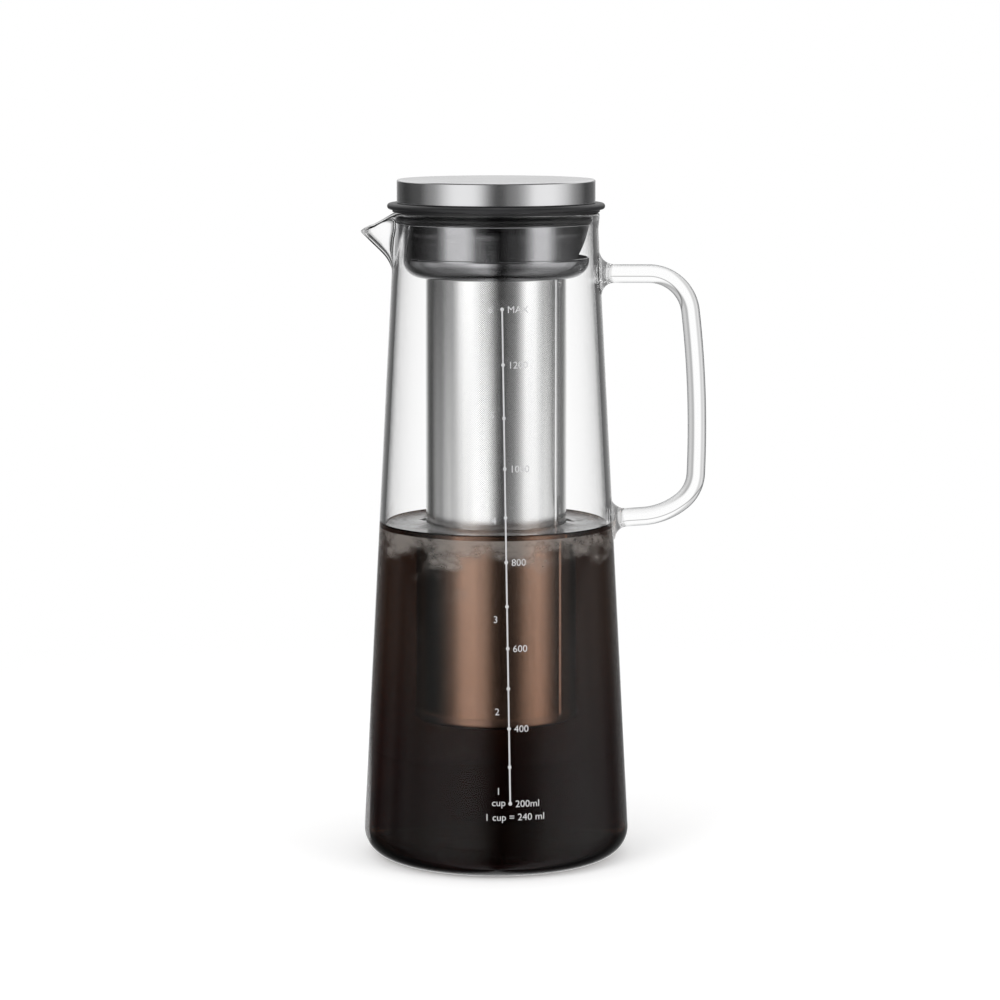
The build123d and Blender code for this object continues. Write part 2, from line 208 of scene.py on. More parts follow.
class NodeSheet:
    """A node tree that is filled from code."""

    def __init__(self, tree: bpy.types.NodeTree) -> None:
        """Empties the tree of a material or of the world."""
        self.tree = tree
        tree.nodes.clear()

    def add(
        self,
        kind: str,
        settings: dict[str, Any] | None = None,
        inputs: dict[int | str, Any] | None = None,
        output: int | str = 0,
    ) -> Wire:
        """Makes a node: its settings first, then the values or links of its sockets.

        Args:
            kind: the node's type.
            settings: its properties by name; "stops" is a ramp's list of positions and grey values.
            inputs: numbers, colours or wires, by the socket's number or name.
            output: which output socket to give back.

        Returns:
            The wire of that output.
        """
        node = self.tree.nodes.new(kind)
        for name, value in (settings or {}).items():
            if name == "stops":
                self._set_stops(node.color_ramp, value)
            else:
                setattr(node, name, value)
        for key, value in (inputs or {}).items():
            socket = node.inputs[key]
            if isinstance(value, Wire):
                self.tree.links.new(value.socket, socket)
            else:
                socket.default_value = (*value, 1.0) if socket.type == "RGBA" else value
        return Wire(self, node.outputs[output] if node.outputs else None)

    @staticmethod
    def _set_stops(ramp: bpy.types.ColorRamp, stops: Sequence[Stop]) -> None:
        """Sets a ramp's stops.

        Args:
            ramp: the ramp, which has two stops when it is new.
            stops: position and grey value, in order.
        """
        while len(ramp.elements) < len(stops):
            ramp.elements.new(0.5)
        for element, (position, value) in zip(ramp.elements, stops):
            element.position = position
            element.color = (*grey(value), 1.0)

    def ramp(self, factor: Wire, stops: Sequence[Stop]) -> Wire:
        """A ramp of greys, read at a factor from 0 to 1."""
        return self.add("ShaderNodeValToRGB", {"stops": stops}, {0: factor})

    def mixed(self, share: Value, first: Wire | Colour, second: Wire | Colour, how: str = "MIX") -> Wire:
        """Mixes two colours in the named way, the share being that of the second."""
        settings = {"data_type": "RGBA", "blend_type": how}
        return self.add("ShaderNodeMix", settings, {0: share, 6: first, 7: second}, output=2)

    def blended(self, share: Value, first: Wire, second: Wire) -> Wire:
        """Mixes two surfaces, the share being that of the second."""
        return self.add("ShaderNodeMixShader", None, {0: share, 1: first, 2: second})

    def clear(self) -> Wire:
        """A surface that light passes as if it weren't there."""
        return self.add("ShaderNodeBsdfTransparent")

    def place(self) -> Wire:
        """The place on the object, in metres from its origin."""
        return self.add("ShaderNodeTexCoord", output="Object")

    def ray(self, name: str) -> Wire:
        """What Light Path says of the ray that is followed, by the name of its output."""
        return self.add("ShaderNodeLightPath", output=name)

    def split(self, vector: Wire) -> tuple[Wire, ...]:
        """The wires of a vector's x, y and z."""
        parts = self.add("ShaderNodeSeparateXYZ", None, {0: vector}).socket.node.outputs
        return tuple(Wire(self, part) for part in parts)

    def joined(self, x: Value, y: Value, z: Value) -> Wire:
        """The vector of three values."""
        return self.add("ShaderNodeCombineXYZ", None, {0: x, 1: y, 2: z})

    def noise(self, vector: Wire, scale: float, detail: float = 2.0, roughness: float = 0.5) -> Wire:
        """Soft noise from 0 to 1, by its grain per metre, its finer layers and how strong they are."""
        inputs = {"Vector": vector, "Scale": scale, "Detail": detail, "Roughness": roughness}
        return self.add("ShaderNodeTexNoise", None, inputs)

    def drawn_noise(self, across: float, up: float, detail: float = 2.0, roughness: float = 0.5) -> Wire:
        """Noise with one grain per metre across and another upwards, read at (x across, y across, z up)."""
        x, y, z = self.split(self.place())
        return self.noise(self.joined(x * across, y * across, z * up), 1.0, detail, roughness)

    def bump(self, height: Wire, distance: float, strength: float) -> Wire:
        """The normal of a height map from 0 to 1, where 1 stands for a distance in millimetres."""
        inputs = {"Height": height, "Distance": distance * MM, "Strength": strength}
        return self.add("ShaderNodeBump", None, inputs)

    def principled(self, **inputs: Any) -> Wire:
        """A Principled surface; an underscore in an input's name stands for a space."""
        named = {name.replace("_", " "): value for name, value in inputs.items()}
        return self.add("ShaderNodeBsdfPrincipled", None, named)


# ------------------------------------------------------------------------------------------ finishes
class Finish:
    """What all finishes share: a name, and methods that fill the node sheet."""

    name: str

    def material(self) -> bpy.types.Material:
        """The finish as a material, made once.

        Returns:
            The material, with the finish's name.
        """
        found = bpy.data.materials.get(self.name)
        if found:
            return found
        made = bpy.data.materials.new(self.name)
        made.use_nodes = True
        sheet = NodeSheet(made.node_tree)
        sheet.add("ShaderNodeOutputMaterial", {"target": "ALL"}, self.outputs(sheet))
        return made

    def outputs(self, sheet: NodeSheet) -> dict[str, Wire]:
        """What goes to the material output's sockets, by their names."""
        return {"Surface": self.surface(sheet)}

    def surface(self, sheet: NodeSheet) -> Wire:
        """The nodes of the surface, on the material's sheet."""
        raise NotImplementedError


@dataclass(frozen=True)
class BrushedSteel(Finish):
    """Stainless steel, turned and brushed, so that its fine lines run round the axis."""

    name: str = "turned_steel"
    colour: Colour = (0.90, 0.90, 0.91)
    roughness: float = 0.20
    darkest: float = 0.78
    lines_per_mm: float = 4.0
    line_drift: float = 14.0
    line_contrast: float = 0.22
    line_roughness: float = 0.14
    line_depth: float = 0.002
    patch_grain: float = 30.0
    patch_contrast: float = 0.10
    patch_roughness: float = 0.08

    def surface(self, sheet: NodeSheet) -> Wire:
        """The noise is read at (x, y, height plus radius), fine along the last, so its lines are circles.

        Args:
            sheet: the material's node sheet.

        Returns:
            The surface's wire.
        """
        x, y, z = sheet.split(sheet.place())
        radius = (x.squared() + y.squared()).root()
        along = (z + radius) * (self.lines_per_mm / MM)
        read_at = sheet.joined(x * self.line_drift, y * self.line_drift, along)
        lines = sheet.noise(read_at, 1.0, detail=3.0, roughness=0.7)
        line = lines - 0.5
        patch = sheet.drawn_noise(self.patch_grain, self.patch_grain) - 0.5
        tone = line * self.line_contrast + patch * self.patch_contrast + 0.5
        tone = sheet.ramp(tone, [(0.0, self.darkest), (1.0, 1.0)])
        return sheet.principled(
            Base_Color=sheet.mixed(1.0, self.colour, tone, "MULTIPLY"),
            Metallic=1.0,
            Roughness=self.roughness + line * self.line_roughness + patch * self.patch_roughness,
            Normal=sheet.bump(lines, self.line_depth, strength=0.5),
        )


@dataclass(frozen=True)
class WovenSteel(Finish):
    """Fine woven steel wire cloth, rolled to a tube about the Z axis."""

    name: str = "woven_steel"
    colour: Colour = (0.98, 0.98, 0.97)
    shade_colour: Colour = (0.80, 0.80, 0.81)
    roughness: float = 0.14
    pitch: float = 0.42
    weave_depth: float = 0.05
    weave_share: float = 0.24
    weave_roughness: float = 0.06
    streak_grain: Grain = (240.0, 3.0)
    streak_share: float = 0.68
    cloud_grain: Grain = (22.0, 14.0)
    cloud_share: float = 0.30
    cloud_roughness: float = 0.10
    tone_span: Span = (0.25, 0.85)

    def surface(self, sheet: NodeSheet) -> Wire:
        """Warp and weft are sines of the arc length and of the height; their product is the weave's height.

        Args:
            sheet: the material's node sheet.

        Returns:
            The surface's wire.
        """
        x, y, z = sheet.split(sheet.place())
        turns = round(tau * MESH_RADIUS / self.pitch / 2)
        around = (y.math("ARCTAN2", x) * turns).sin()
        upward = (z * (tau / 2 / (self.pitch * MM))).sin()
        weave = (around * upward) * 0.5 + 0.5
        streaks = sheet.drawn_noise(*self.streak_grain, detail=3.0, roughness=0.6)
        cloud = sheet.drawn_noise(*self.cloud_grain)
        # painted shade: the weave's low points, where wires pass under others, take the darker colour;
        # streaks and cloud are the cloth's random tone
        tone = weave * self.weave_share + streaks * self.streak_share + cloud * self.cloud_share
        rough = self.roughness + (cloud - 0.5) * self.cloud_roughness + (1 - weave) * self.weave_roughness
        return sheet.principled(
            Base_Color=sheet.mixed(tone.step(*self.tone_span), self.shade_colour, self.colour),
            Metallic=1.0,
            Roughness=rough,
            Normal=sheet.bump(weave, self.weave_depth, strength=0.22),
        )


@dataclass(frozen=True)
class ClearGlass(Finish):
    """Hand-finished borosilicate glass with faint waves, and painted shade where it is seen edge on."""

    name: str = "waved_glass"
    # painted shade: the base colour turns grey where the glass is seen edge on, for the dark edges that the
    # surroundings give
    edge_colour: Colour = (0.48, 0.49, 0.50)
    edge_from: float = 0.70
    edge_to: float = 0.98
    index: float = 1.47
    gloss: float = 0.18
    wave_grain: float = 42.0
    wave_depth: float = 0.05

    def edge_share(self, sheet: NodeSheet) -> Wire:
        """How far the painted edge shade is used: a step on the facing share of Layer Weight."""
        facing = sheet.add("ShaderNodeLayerWeight", None, {"Blend": 0.5}, "Facing")
        return facing.step(self.edge_from, self.edge_to)

    def surface(self, sheet: NodeSheet) -> Wire:
        """The painted edge shade stands at the edges; the waves are slow noise in the normal.

        Args:
            sheet: the material's node sheet.

        Returns:
            The surface's wire.
        """
        waves = sheet.noise(sheet.place(), self.wave_grain, detail=1.0)
        return sheet.principled(
            Base_Color=sheet.mixed(self.edge_share(sheet), WHITE, self.edge_colour),
            Roughness=0.0,
            IOR=self.index,
            Transmission_Weight=1.0,
            Specular_Tint=grey(self.gloss),
            Normal=sheet.bump(waves, self.wave_depth, strength=0.6),
        )


@dataclass(frozen=True)
class FusedGlass(ClearGlass):
    """Clear glass of a part that is fused to another, so that its faces inside the joint don't show.

    Where light would be trapped by many reflections and come out black, a share of it goes straight through.
    """

    opened: float = 0.5

    def depth(self, sheet: NodeSheet) -> Wire:
        """How far a point stands outside the cone: its distance from the axis less the cone's radius."""
        x, y, z = sheet.split(sheet.place())
        return (x.squared() + y.squared()).root() - (BASE_RADIUS * MM - z * CONE_FALL)

    def hidden(self, sheet: NodeSheet) -> Wire:
        """The share of light that passes the face as if it weren't there."""
        raise NotImplementedError

    def surface(self, sheet: NodeSheet) -> Wire:
        """Clear glass, and no face at all where it is hidden."""
        return sheet.blended(self.hidden(sheet), super().surface(sheet), sheet.clear())


@dataclass(frozen=True)
class WallGlass(FusedGlass):
    """The carafe's glass: its outer face inside the handle's feet is hidden, and the spout's tip opened."""

    feet: tuple[float, float] = (0.0, 0.0)  # heights of the feet's middles on the wall's face
    foot_radius: float = 8.2
    foot_depth: float = 0.8
    tip: Span = (-50.5, -48.0)  # x at which the spout's tip ends and begins

    def hidden(self, sheet: NodeSheet) -> Wire:
        """Circles round the feet on the outer face on the handle's side, and a step along x at the tip.

        Args:
            sheet: the material's node sheet.

        Returns:
            The wire of the share that is hidden.
        """
        x, y, z = sheet.split(sheet.place())
        low, high = (y.squared() + (z - foot * MM).squared() for foot in self.feet)
        in_foot = low.least(high) < (self.foot_radius * MM) ** 2
        on_face = (self.depth(sheet) > -self.foot_depth * MM) * (x > 0)
        at_tip = x.step(self.tip[0] * MM, self.tip[1] * MM, self.opened, 0.0)
        return (in_foot * on_face).most(at_tip)


@dataclass(frozen=True)
class RodGlass(FusedGlass):
    """The handle's glass: its ends inside the wall are hidden, its feet opened and without painted edge
    shade.
    """

    name: str = "rod_glass"
    # painted shade: a darker grey at the rod's edges, for the same dark edges
    edge_colour: Colour = (0.14, 0.15, 0.16)
    edge_from: float = 0.25
    edge_to: float = 0.80
    skin: float = 0.02
    open_depth: Span = (1.0, 6.0)
    tint_depth: Span = (2.0, 9.0)

    def edge_share(self, sheet: NodeSheet) -> Wire:
        """The painted edge shade fades towards the feet."""
        start, end = self.tint_depth
        return super().edge_share(sheet) * self.depth(sheet).step(start * MM, end * MM)

    def hidden(self, sheet: NodeSheet) -> Wire:
        """All inside the wall, and a share in the feet that fades along the rod.

        Args:
            sheet: the material's node sheet.

        Returns:
            The wire of the share that is hidden.
        """
        depth = self.depth(sheet)
        start, end = self.open_depth
        return (depth < -self.skin * MM).most(depth.step(start * MM, end * MM, self.opened, 0.0))


@dataclass(frozen=True)
class ColdBrew(Finish):
    """Coffee: a clear brown liquid that light fades in, the blue first, with froth below its surface."""

    name: str = "cold_brew"
    index: float = 1.14
    top_index: float = 1.33
    top_tint: Colour = (0.62, 0.50, 0.42)
    top_roughness: float = 0.06
    ripple_grain: Grain = (60.0, 1.0)
    ripple_depth: float = 1.2
    fade_per_metre: Colour = (27.0, 40.0, 49.0)
    froth: Colour = (0.84, 0.77, 0.71)
    froth_roughness: float = 0.5
    froth_grain: Grain = (62.0, 110.0)
    froth_depth: float = 15.0
    froth_end: float = 27.0
    froth_full: float = 4.0  # the depth above which the height adds no more
    froth_edge: Span = (0.60, 0.92)
    froth_cover: float = 0.55
    top_more: float = 0.30
    front_more: float = 0.08
    front_half: Span = (10.0, 30.0)

    @staticmethod
    def step_below_top(z: Wire, deep: float, shallow: float) -> Wire:
        """A smooth step on the height, from one depth below the coffee's top up to a smaller one."""
        return z.step((BREW_TOP - deep) * MM, (BREW_TOP - shallow) * MM)

    def veil(self, sheet: NodeSheet) -> Wire:
        """How much froth clings to the glass at a point.

        Its edge is where noise, a share of the height, and a little more in the middle of the front pass a
        limit together. It is cut off some way below its depth.

        Args:
            sheet: the material's node sheet.

        Returns:
            The wire of the froth's share.
        """
        x, y, z = sheet.split(sheet.place())
        swirl = sheet.drawn_noise(*self.froth_grain, detail=4.0, roughness=0.62)
        near_top = self.step_below_top(z, self.froth_depth, self.froth_full)
        start, end = self.front_half
        front = abs(x).step(start * MM, end * MM, self.front_more, 0.0) * (y < 0)
        cover = (swirl + near_top * self.top_more + front).step(*self.froth_edge, 0.0, self.froth_cover)
        return cover * self.step_below_top(z, self.froth_end, self.froth_depth)

    def surface(self, sheet: NodeSheet) -> Wire:
        """The flat top has water's gloss, the side the little that is left of it behind glass.

        Args:
            sheet: the material's node sheet.

        Returns:
            The surface's wire.
        """
        side = sheet.principled(Base_Color=WHITE, Roughness=0.0, IOR=self.index, Transmission_Weight=1.0)
        top = sheet.principled(
            Base_Color=self.top_tint,
            Roughness=self.top_roughness,
            IOR=self.top_index,
            Transmission_Weight=1.0,
            Normal=sheet.bump(sheet.drawn_noise(*self.ripple_grain), self.ripple_depth, strength=0.5),
        )
        _, _, z = sheet.split(sheet.place())
        is_top = self.step_below_top(z, deep=0.8, shallow=0.2)
        froth = sheet.principled(Base_Color=self.froth, Roughness=self.froth_roughness)
        side = sheet.blended(self.veil(sheet) * (1 - is_top), side, froth)
        return sheet.blended(is_top, side, top)

    def outputs(self, sheet: NodeSheet) -> dict[str, Wire]:
        """The surface, and the volume that the light fades in.

        Args:
            sheet: the material's node sheet.

        Returns:
            The wires for the output's sockets, by their names.
        """
        strongest = max(self.fade_per_metre)
        passed = tuple(1 - fade / strongest for fade in self.fade_per_metre)
        volume = sheet.add("ShaderNodeVolumeAbsorption", None, {"Color": passed, "Density": strongest})
        return {"Surface": self.surface(sheet), "Volume": volume}


@dataclass(frozen=True)
class Silicone(Finish):
    """Black food-grade silicone with a satin face and a trace of dust."""

    name: str = "satin_silicone"
    colour: Colour = (0.013, 0.013, 0.014)
    dusty_colour: Colour = (0.028, 0.028, 0.030)
    dusty_span: Span = (0.35, 0.8)
    roughness: float = 0.42
    pore_grain: float = 2600.0
    pore_roughness: float = 0.2
    pore_depth: float = 0.02
    cloud_grain: float = 60.0
    cloud_roughness: float = 0.12

    def surface(self, sheet: NodeSheet) -> Wire:
        """Fine noise roughens the face, and slow noise lightens it a little.

        Args:
            sheet: the material's node sheet.

        Returns:
            The surface's wire.
        """
        place = sheet.place()
        pores = sheet.noise(place, self.pore_grain)
        cloud = sheet.noise(place, self.cloud_grain, detail=3.0)
        rough = self.roughness + (pores - 0.5) * self.pore_roughness + (cloud - 0.5) * self.cloud_roughness
        return sheet.principled(
            Base_Color=sheet.mixed(cloud.step(*self.dusty_span), self.colour, self.dusty_colour),
            Roughness=rough,
            Normal=sheet.bump(pores, self.pore_depth, strength=0.5),
        )


@dataclass(frozen=True)
class WhiteInk(Finish):
    """White enamel, screen printed on the glass and fired."""

    name: str = "fired_enamel"
    colour: Colour = (0.72, 0.72, 0.73)
    thin_colour: Colour = (0.55, 0.55, 0.56)
    thin_span: Span = (0.35, 0.7)
    roughness: float = 0.3
    speck_grain: float = 3200.0
    speck_roughness: float = 0.2
    speck_depth: float = 0.015

    def surface(self, sheet: NodeSheet) -> Wire:
        """Fine noise thins the enamel in specks.

        Args:
            sheet: the material's node sheet.

        Returns:
            The surface's wire.
        """
        specks = sheet.noise(sheet.place(), self.speck_grain)
        return sheet.principled(
            Base_Color=sheet.mixed(specks.step(*self.thin_span), self.thin_colour, self.colour),
            Roughness=self.roughness + specks * self.speck_roughness,
            Normal=sheet.bump(specks, self.speck_depth, strength=0.4),
        )


@dataclass(frozen=True)
class MouldedPlastic(Finish):
    """Dark grey polypropylene with a fine spark-eroded grain."""

    name: str = "grained_plastic"
    colour: Colour = (0.055, 0.056, 0.058)
    flow_colour: Colour = (0.075, 0.076, 0.079)
    flow_span: Span = (0.3, 0.75)
    flow_grain: float = 45.0
    roughness: float = 0.5
    pit_grain: float = 1900.0
    pit_roughness: float = 0.16
    pit_depth: float = 0.03

    def surface(self, sheet: NodeSheet) -> Wire:
        """Fine noise is the eroded grain, slow noise the flow of the melt.

        Args:
            sheet: the material's node sheet.

        Returns:
            The surface's wire.
        """
        place = sheet.place()
        pits = sheet.noise(place, self.pit_grain, detail=3.0, roughness=0.6)
        flow = sheet.noise(place, self.flow_grain, detail=1.0)
        return sheet.principled(
            Base_Color=sheet.mixed(flow.step(*self.flow_span), self.colour, self.flow_colour),
            Roughness=self.roughness + pits * self.pit_roughness,
            Normal=sheet.bump(pits, self.pit_depth, strength=0.6),
        )


@dataclass(frozen=True)
class FloorPaint(Finish):
    """White board that fades out away from the object.

    It is painted dark, as shade, where it is seen through the coffee, and painted dark right under the base,
    as its shadow, where it is seen through the glass. Other gloss doesn't show it.
    """

    name: str = "floor_paint"
    white: Colour = (0.97, 0.97, 0.97)
    # painted shade: this dark colour stands for the shadow under the base and the shade behind the coffee
    dark: Colour = (0.030, 0.008, 0.008)
    glow: float = 0.25
    base_edge: Span = (51.0, 58.0)
    fade_out: Span = (120.0, 500.0)

    def surface(self, sheet: NodeSheet) -> Wire:
        """All goes by the distance from the axis, and by what the ray has come through.

        Args:
            sheet: the material's node sheet.

        Returns:
            The surface's wire.
        """
        x, y, _ = sheet.split(sheet.place())
        radius = (x.squared() + y.squared()).root() / MM
        faces = sheet.ray("Transmission Depth")
        # painted shadow: the floor under the base turns dark where the glass shows it, and it is painted dark
        # behind the coffee too
        under = radius.step(*self.base_edge, 1.0, 0.0) * (faces > BENT)
        colour = sheet.mixed((faces > DEEP).most(under), self.white, self.dark)
        board = sheet.add("ShaderNodeBsdfDiffuse", None, {"Color": colour})
        strength = sheet.ray("Is Camera Ray") * self.glow
        glow = sheet.add("ShaderNodeEmission", None, {"Color": WHITE, "Strength": strength})
        board = sheet.add("ShaderNodeAddShader", None, {0: board, 1: glow})
        in_gloss = (sheet.ray("Glossy Depth") > 0.5) * (1 - under)
        return sheet.blended(radius.step(*self.fade_out).most(in_gloss), board, sheet.clear())


def collar_steel() -> BrushedSteel:
    """The steel of the collar and of the cup below it: the cap's steel made darker, as painted shade under
    the cap.
    """
    # painted shade: half the cap steel's brightness, for parts that sit under the cap inside the glass's
    # mouth
    return BrushedSteel("painted_shade_steel", colour=(0.45, 0.45, 0.46), roughness=0.11)


# ------------------------------------------------------------------------------------------ surfaces
@dataclass(frozen=True)
class Surface:
    """Points in millimetres, and faces of four corners; a face that repeats a corner is a triangle."""

    points: Array
    faces: Array

    def welded(self) -> "Surface":
        """The surface with points at one place made one, and faces without area taken out.

        Returns:
            The cleaned surface.
        """
        rounded_off = np.round(self.points, 4)
        _, first, index = np.unique(rounded_off, axis=0, return_index=True, return_inverse=True)
        faces = index.reshape(-1)[self.faces]
        repeats = (faces == np.roll(faces, 1, axis=1)).sum(axis=1)
        crossed = (faces[:, 0] == faces[:, 2]) | (faces[:, 1] == faces[:, 3])
        return Surface(self.points[first], faces[(repeats < 2) & ~crossed])

    def facing_out(self) -> "Surface":
        """The surface with its faces turned outwards.

        The test is the sum, over the faces, of the area normal times the way from the middle of all points.

        Returns:
            The surface, turned where it has to be.
        """
        a, b, c, d = (self.points[self.faces[:, i]] for i in range(4))
        normals = np.cross(c - a, d - b)
        way = (a + b + c + d) / 4 - self.points.mean(axis=0)
        return self if (normals * way).sum() > 0 else Surface(self.points, self.faces[:, ::-1])


def grid_surface(
    points: Array, wrap_rows: bool = False, wrap_columns: bool = False, drop: Array | None = None
) -> Surface:
    """Joins a grid of points with faces.

    Args:
        points: rows by columns by three.
        wrap_rows: whether the last row joins the first.
        wrap_columns: whether the last column joins the first.
        drop: true for each face, rows by columns, that is left open.

    Returns:
        The surface.
    """
    rows, columns = points.shape[:2]
    index = np.arange(rows * columns).reshape(rows, columns)
    down, right = np.roll(index, -1, axis=0), np.roll(index, -1, axis=1)
    faces = np.stack([index, right, np.roll(down, -1, axis=1), down], axis=-1)
    keep = np.ones((rows, columns), bool)
    keep[-1] &= wrap_rows
    keep[:, -1] &= wrap_columns
    if drop is not None:
        keep &= ~drop
    return Surface(points.reshape(-1, 3), faces[keep])


def closed_tube(rings: Array) -> Surface:
    """Joins rings of points, rows by columns by three, and closes each end at the middle of its ring."""
    middle = np.repeat(rings.mean(axis=1, keepdims=True), rings.shape[1], axis=1)
    return grid_surface(np.concatenate([middle[:1], rings, middle[-1:]]), wrap_columns=True)


def about_axis(radius: Array, angle: Array, height: Array) -> Array:
    """Points about Z: x and y are the radius times the angle's cosine and sine, and z is the height."""
    x, y, z = np.broadcast_arrays(radius * np.cos(angle), radius * np.sin(angle), height)
    return np.stack([x, y, z], axis=-1)


def rounded(corners: Sequence[Corner], closed: bool = False, steps: int = 8, ease: float = 0.3) -> Array:
    """A line through corners, each rounded by its own radius.

    The arc at a corner starts its radius times the tangent of half the turn before the corner. Its points
    are its centre plus the radius turned evenly through the corner's turn. A point on each straight side of
    an arc keeps the shading there flat.

    Args:
        corners: x, y and radius.
        closed: whether the last corner joins the first.
        steps: how many pieces an arc has.
        ease: how far from the arc the point on each side lies.

    Returns:
        The line's points, each once.
    """
    table = np.array(corners, float)
    points, radius = table[:, :2], table[:, 2]
    back, ahead = points - np.roll(points, 1, axis=0), np.roll(points, -1, axis=0) - points
    if not closed:
        back[0], ahead[-1] = ahead[0], back[-1]
    length = np.hypot(*ahead.T)
    back, ahead = back / np.hypot(*back.T)[:, None], ahead / length[:, None]
    turn = np.arctan2(back[:, 0] * ahead[:, 1] - back[:, 1] * ahead[:, 0], (back * ahead).sum(axis=1))
    reach = radius * np.tan(np.abs(turn) / 2)
    inward = np.sign(turn)[:, None] * np.column_stack([-back[:, 1], back[:, 0]])
    centre = points - back * reach[:, None] + inward * radius[:, None]
    angle = turn[:, None] * np.linspace(0, 1, steps + 1)
    spoke = -inward * radius[:, None]
    spoke_x = spoke[:, :1] * np.cos(angle) - spoke[:, 1:] * np.sin(angle)
    spoke_y = spoke[:, :1] * np.sin(angle) + spoke[:, 1:] * np.cos(angle)
    arcs = centre[:, None] + np.stack([spoke_x, spoke_y], axis=-1)
    free = length - reach - np.roll(reach, -1)
    after = np.minimum(ease, 0.3 * free)
    before = np.roll(after, 1)
    if not closed:
        before[0] = after[-1] = 0
    first = (arcs[:, 0] - back * before[:, None])[:, None]
    last = (arcs[:, -1] + ahead * after[:, None])[:, None]
    line = np.concatenate([first, arcs, last], axis=1).reshape(-1, 2)
    gap = np.hypot(*(line - np.roll(line, 1, axis=0)).T) > 1e-4
    gap[0] |= not closed
    return line[gap]


def dense(line: Array, spacing: float, fine_above: float = np.inf) -> Array:
    """Adds points to a line, so that none are further apart than the spacing.

    Args:
        line: points by two or three.
        spacing: the largest distance along the line.
        fine_above: the height above which the spacing is a quarter of that.

    Returns:
        The old points and the new ones, in order.
    """
    along = np.concatenate([[0], np.cumsum(np.sqrt((np.diff(line, axis=0) ** 2).sum(axis=1)))])
    new = np.arange(0, along[-1], spacing / 4)
    fine = np.interp(new, along, line[:, -1]) > fine_above
    used = fine | (np.arange(len(new)) % 4 == 0)
    new, gap = new[used], np.where(fine, spacing / 4, spacing)[used]
    near = np.abs(new[:, None] - along).min(axis=1) < 0.35 * gap
    marks = np.sort(np.concatenate([along, new[~near]]))
    return np.column_stack([np.interp(marks, along, part) for part in line.T])


def turned(profile: Array, segments: int = 192, closed: bool = False) -> Surface:
    """Turns a profile about Z.

    Args:
        profile: radius and height of each point.
        segments: how many steps the circle has.
        closed: whether the profile's last point joins its first.

    Returns:
        The surface.
    """
    angle = np.linspace(0, tau, segments, endpoint=False)
    points = about_axis(profile[:, 0, None], angle, profile[:, 1, None])
    return grid_surface(points, wrap_rows=closed, wrap_columns=True)


# -------------------------------------------------------------------------------------------- meshes
def set_points(mesh: bpy.types.Mesh, points: Array) -> None:
    """Moves a mesh's vertices to points in millimetres."""
    mesh.vertices.foreach_set("co", (points * MM).astype(np.float32).ravel())


def smooth(mesh: bpy.types.Mesh) -> None:
    """Shades a mesh smooth, and keeps its sharp edges."""
    mesh.shade_smooth()
    mesh.set_sharp_from_angle(angle=radians(SHARP_DEGREES))


def linked_object(name: str, data: bpy.types.ID) -> bpy.types.Object:
    """Makes an object and links it to the scene.

    Args:
        name: its name.
        data: the mesh, curve, lamp or camera.

    Returns:
        The object, at the origin.
    """
    made = bpy.data.objects.new(name, data)
    bpy.context.scene.collection.objects.link(made)
    return made


def mesh_object(name: str, surface: Surface, finish: Finish) -> bpy.types.Object:
    """Makes an object of a surface.

    Args:
        name: the object's name.
        surface: its points and faces.
        finish: its finish.

    Returns:
        The object, at the origin.
    """
    clean = surface.welded().facing_out()
    repeat = clean.faces == np.roll(clean.faces, 1, axis=1)
    sizes = 4 - repeat.sum(axis=1)
    starts = np.concatenate([[0], np.cumsum(sizes)[:-1]])
    corners = clean.faces[~repeat]
    mesh = bpy.data.meshes.new(name)
    mesh.vertices.add(len(clean.points))
    set_points(mesh, clean.points)
    mesh.loops.add(len(corners))
    mesh.loops.foreach_set("vertex_index", corners.astype(np.int32))
    mesh.polygons.add(len(sizes))
    mesh.polygons.foreach_set("loop_start", starts.astype(np.int32))
    mesh.polygons.foreach_set("loop_total", sizes.astype(np.int32))
    mesh.update(calc_edges=True)
    mesh.validate()
    smooth(mesh)
    mesh.materials.append(finish.material())
    return linked_object(name, mesh)


def thicken(piece: bpy.types.Object, thickness: float) -> None:
    """Gives an open surface a thickness behind its face, and keeps the result as its mesh.

    Args:
        piece: the object.
        thickness: in millimetres.
    """
    solidify = piece.modifiers.new("thickness", "SOLIDIFY")
    solidify.thickness = thickness * MM
    solidify.offset = -1
    solidify.use_even_offset = True
    graph = bpy.context.evaluated_depsgraph_get()
    old = piece.data
    piece.data = bpy.data.meshes.new_from_object(piece.evaluated_get(graph))
    piece.modifiers.clear()
    bpy.data.meshes.remove(old)
    smooth(piece.data)


def join(piece: bpy.types.Object, others: Sequence[bpy.types.Object]) -> None:
    """Joins objects into the first one."""
    with bpy.context.temp_override(active_object=piece, selected_editable_objects=[piece, *others]):
        bpy.ops.object.join()


# ------------------------------------------------------------------------------------ sub-assemblies
class SubAssembly:
    """A group of pieces that moves as one body."""

    body: ClassVar[Body]

    def mount(
        self, piece: bpy.types.Object, stands_for: Sequence[str] = (), slot: Slot | None = None
    ) -> bpy.types.Object:
        """Puts a finished object on the body, and hides the CAD nodes that it replaces.

        Args:
            piece: the object.
            stands_for: the CAD nodes that it replaces.
            slot: the record's slot of its finish; not used.

        Returns:
            The piece.
        """
        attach(piece, self.body.value)
        if stands_for:
            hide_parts(*stands_for)
        log.info("%s: %d faces, rides on %s", piece.name, len(piece.data.polygons), self.body.value)
        return piece

    def dress(self, node: str, finish: Finish) -> None:
        """Gives a CAD node that stays a better finish.

        Args:
            node: the node's name.
            finish: its finish.
        """
        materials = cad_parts[node].data.materials
        materials.clear()
        materials.append(finish.material())
        log.info("%s: CAD node, finished as %s", node, finish.name)

    def build(self) -> None:
        """Builds and finishes all pieces of the sub-assembly."""
        raise NotImplementedError


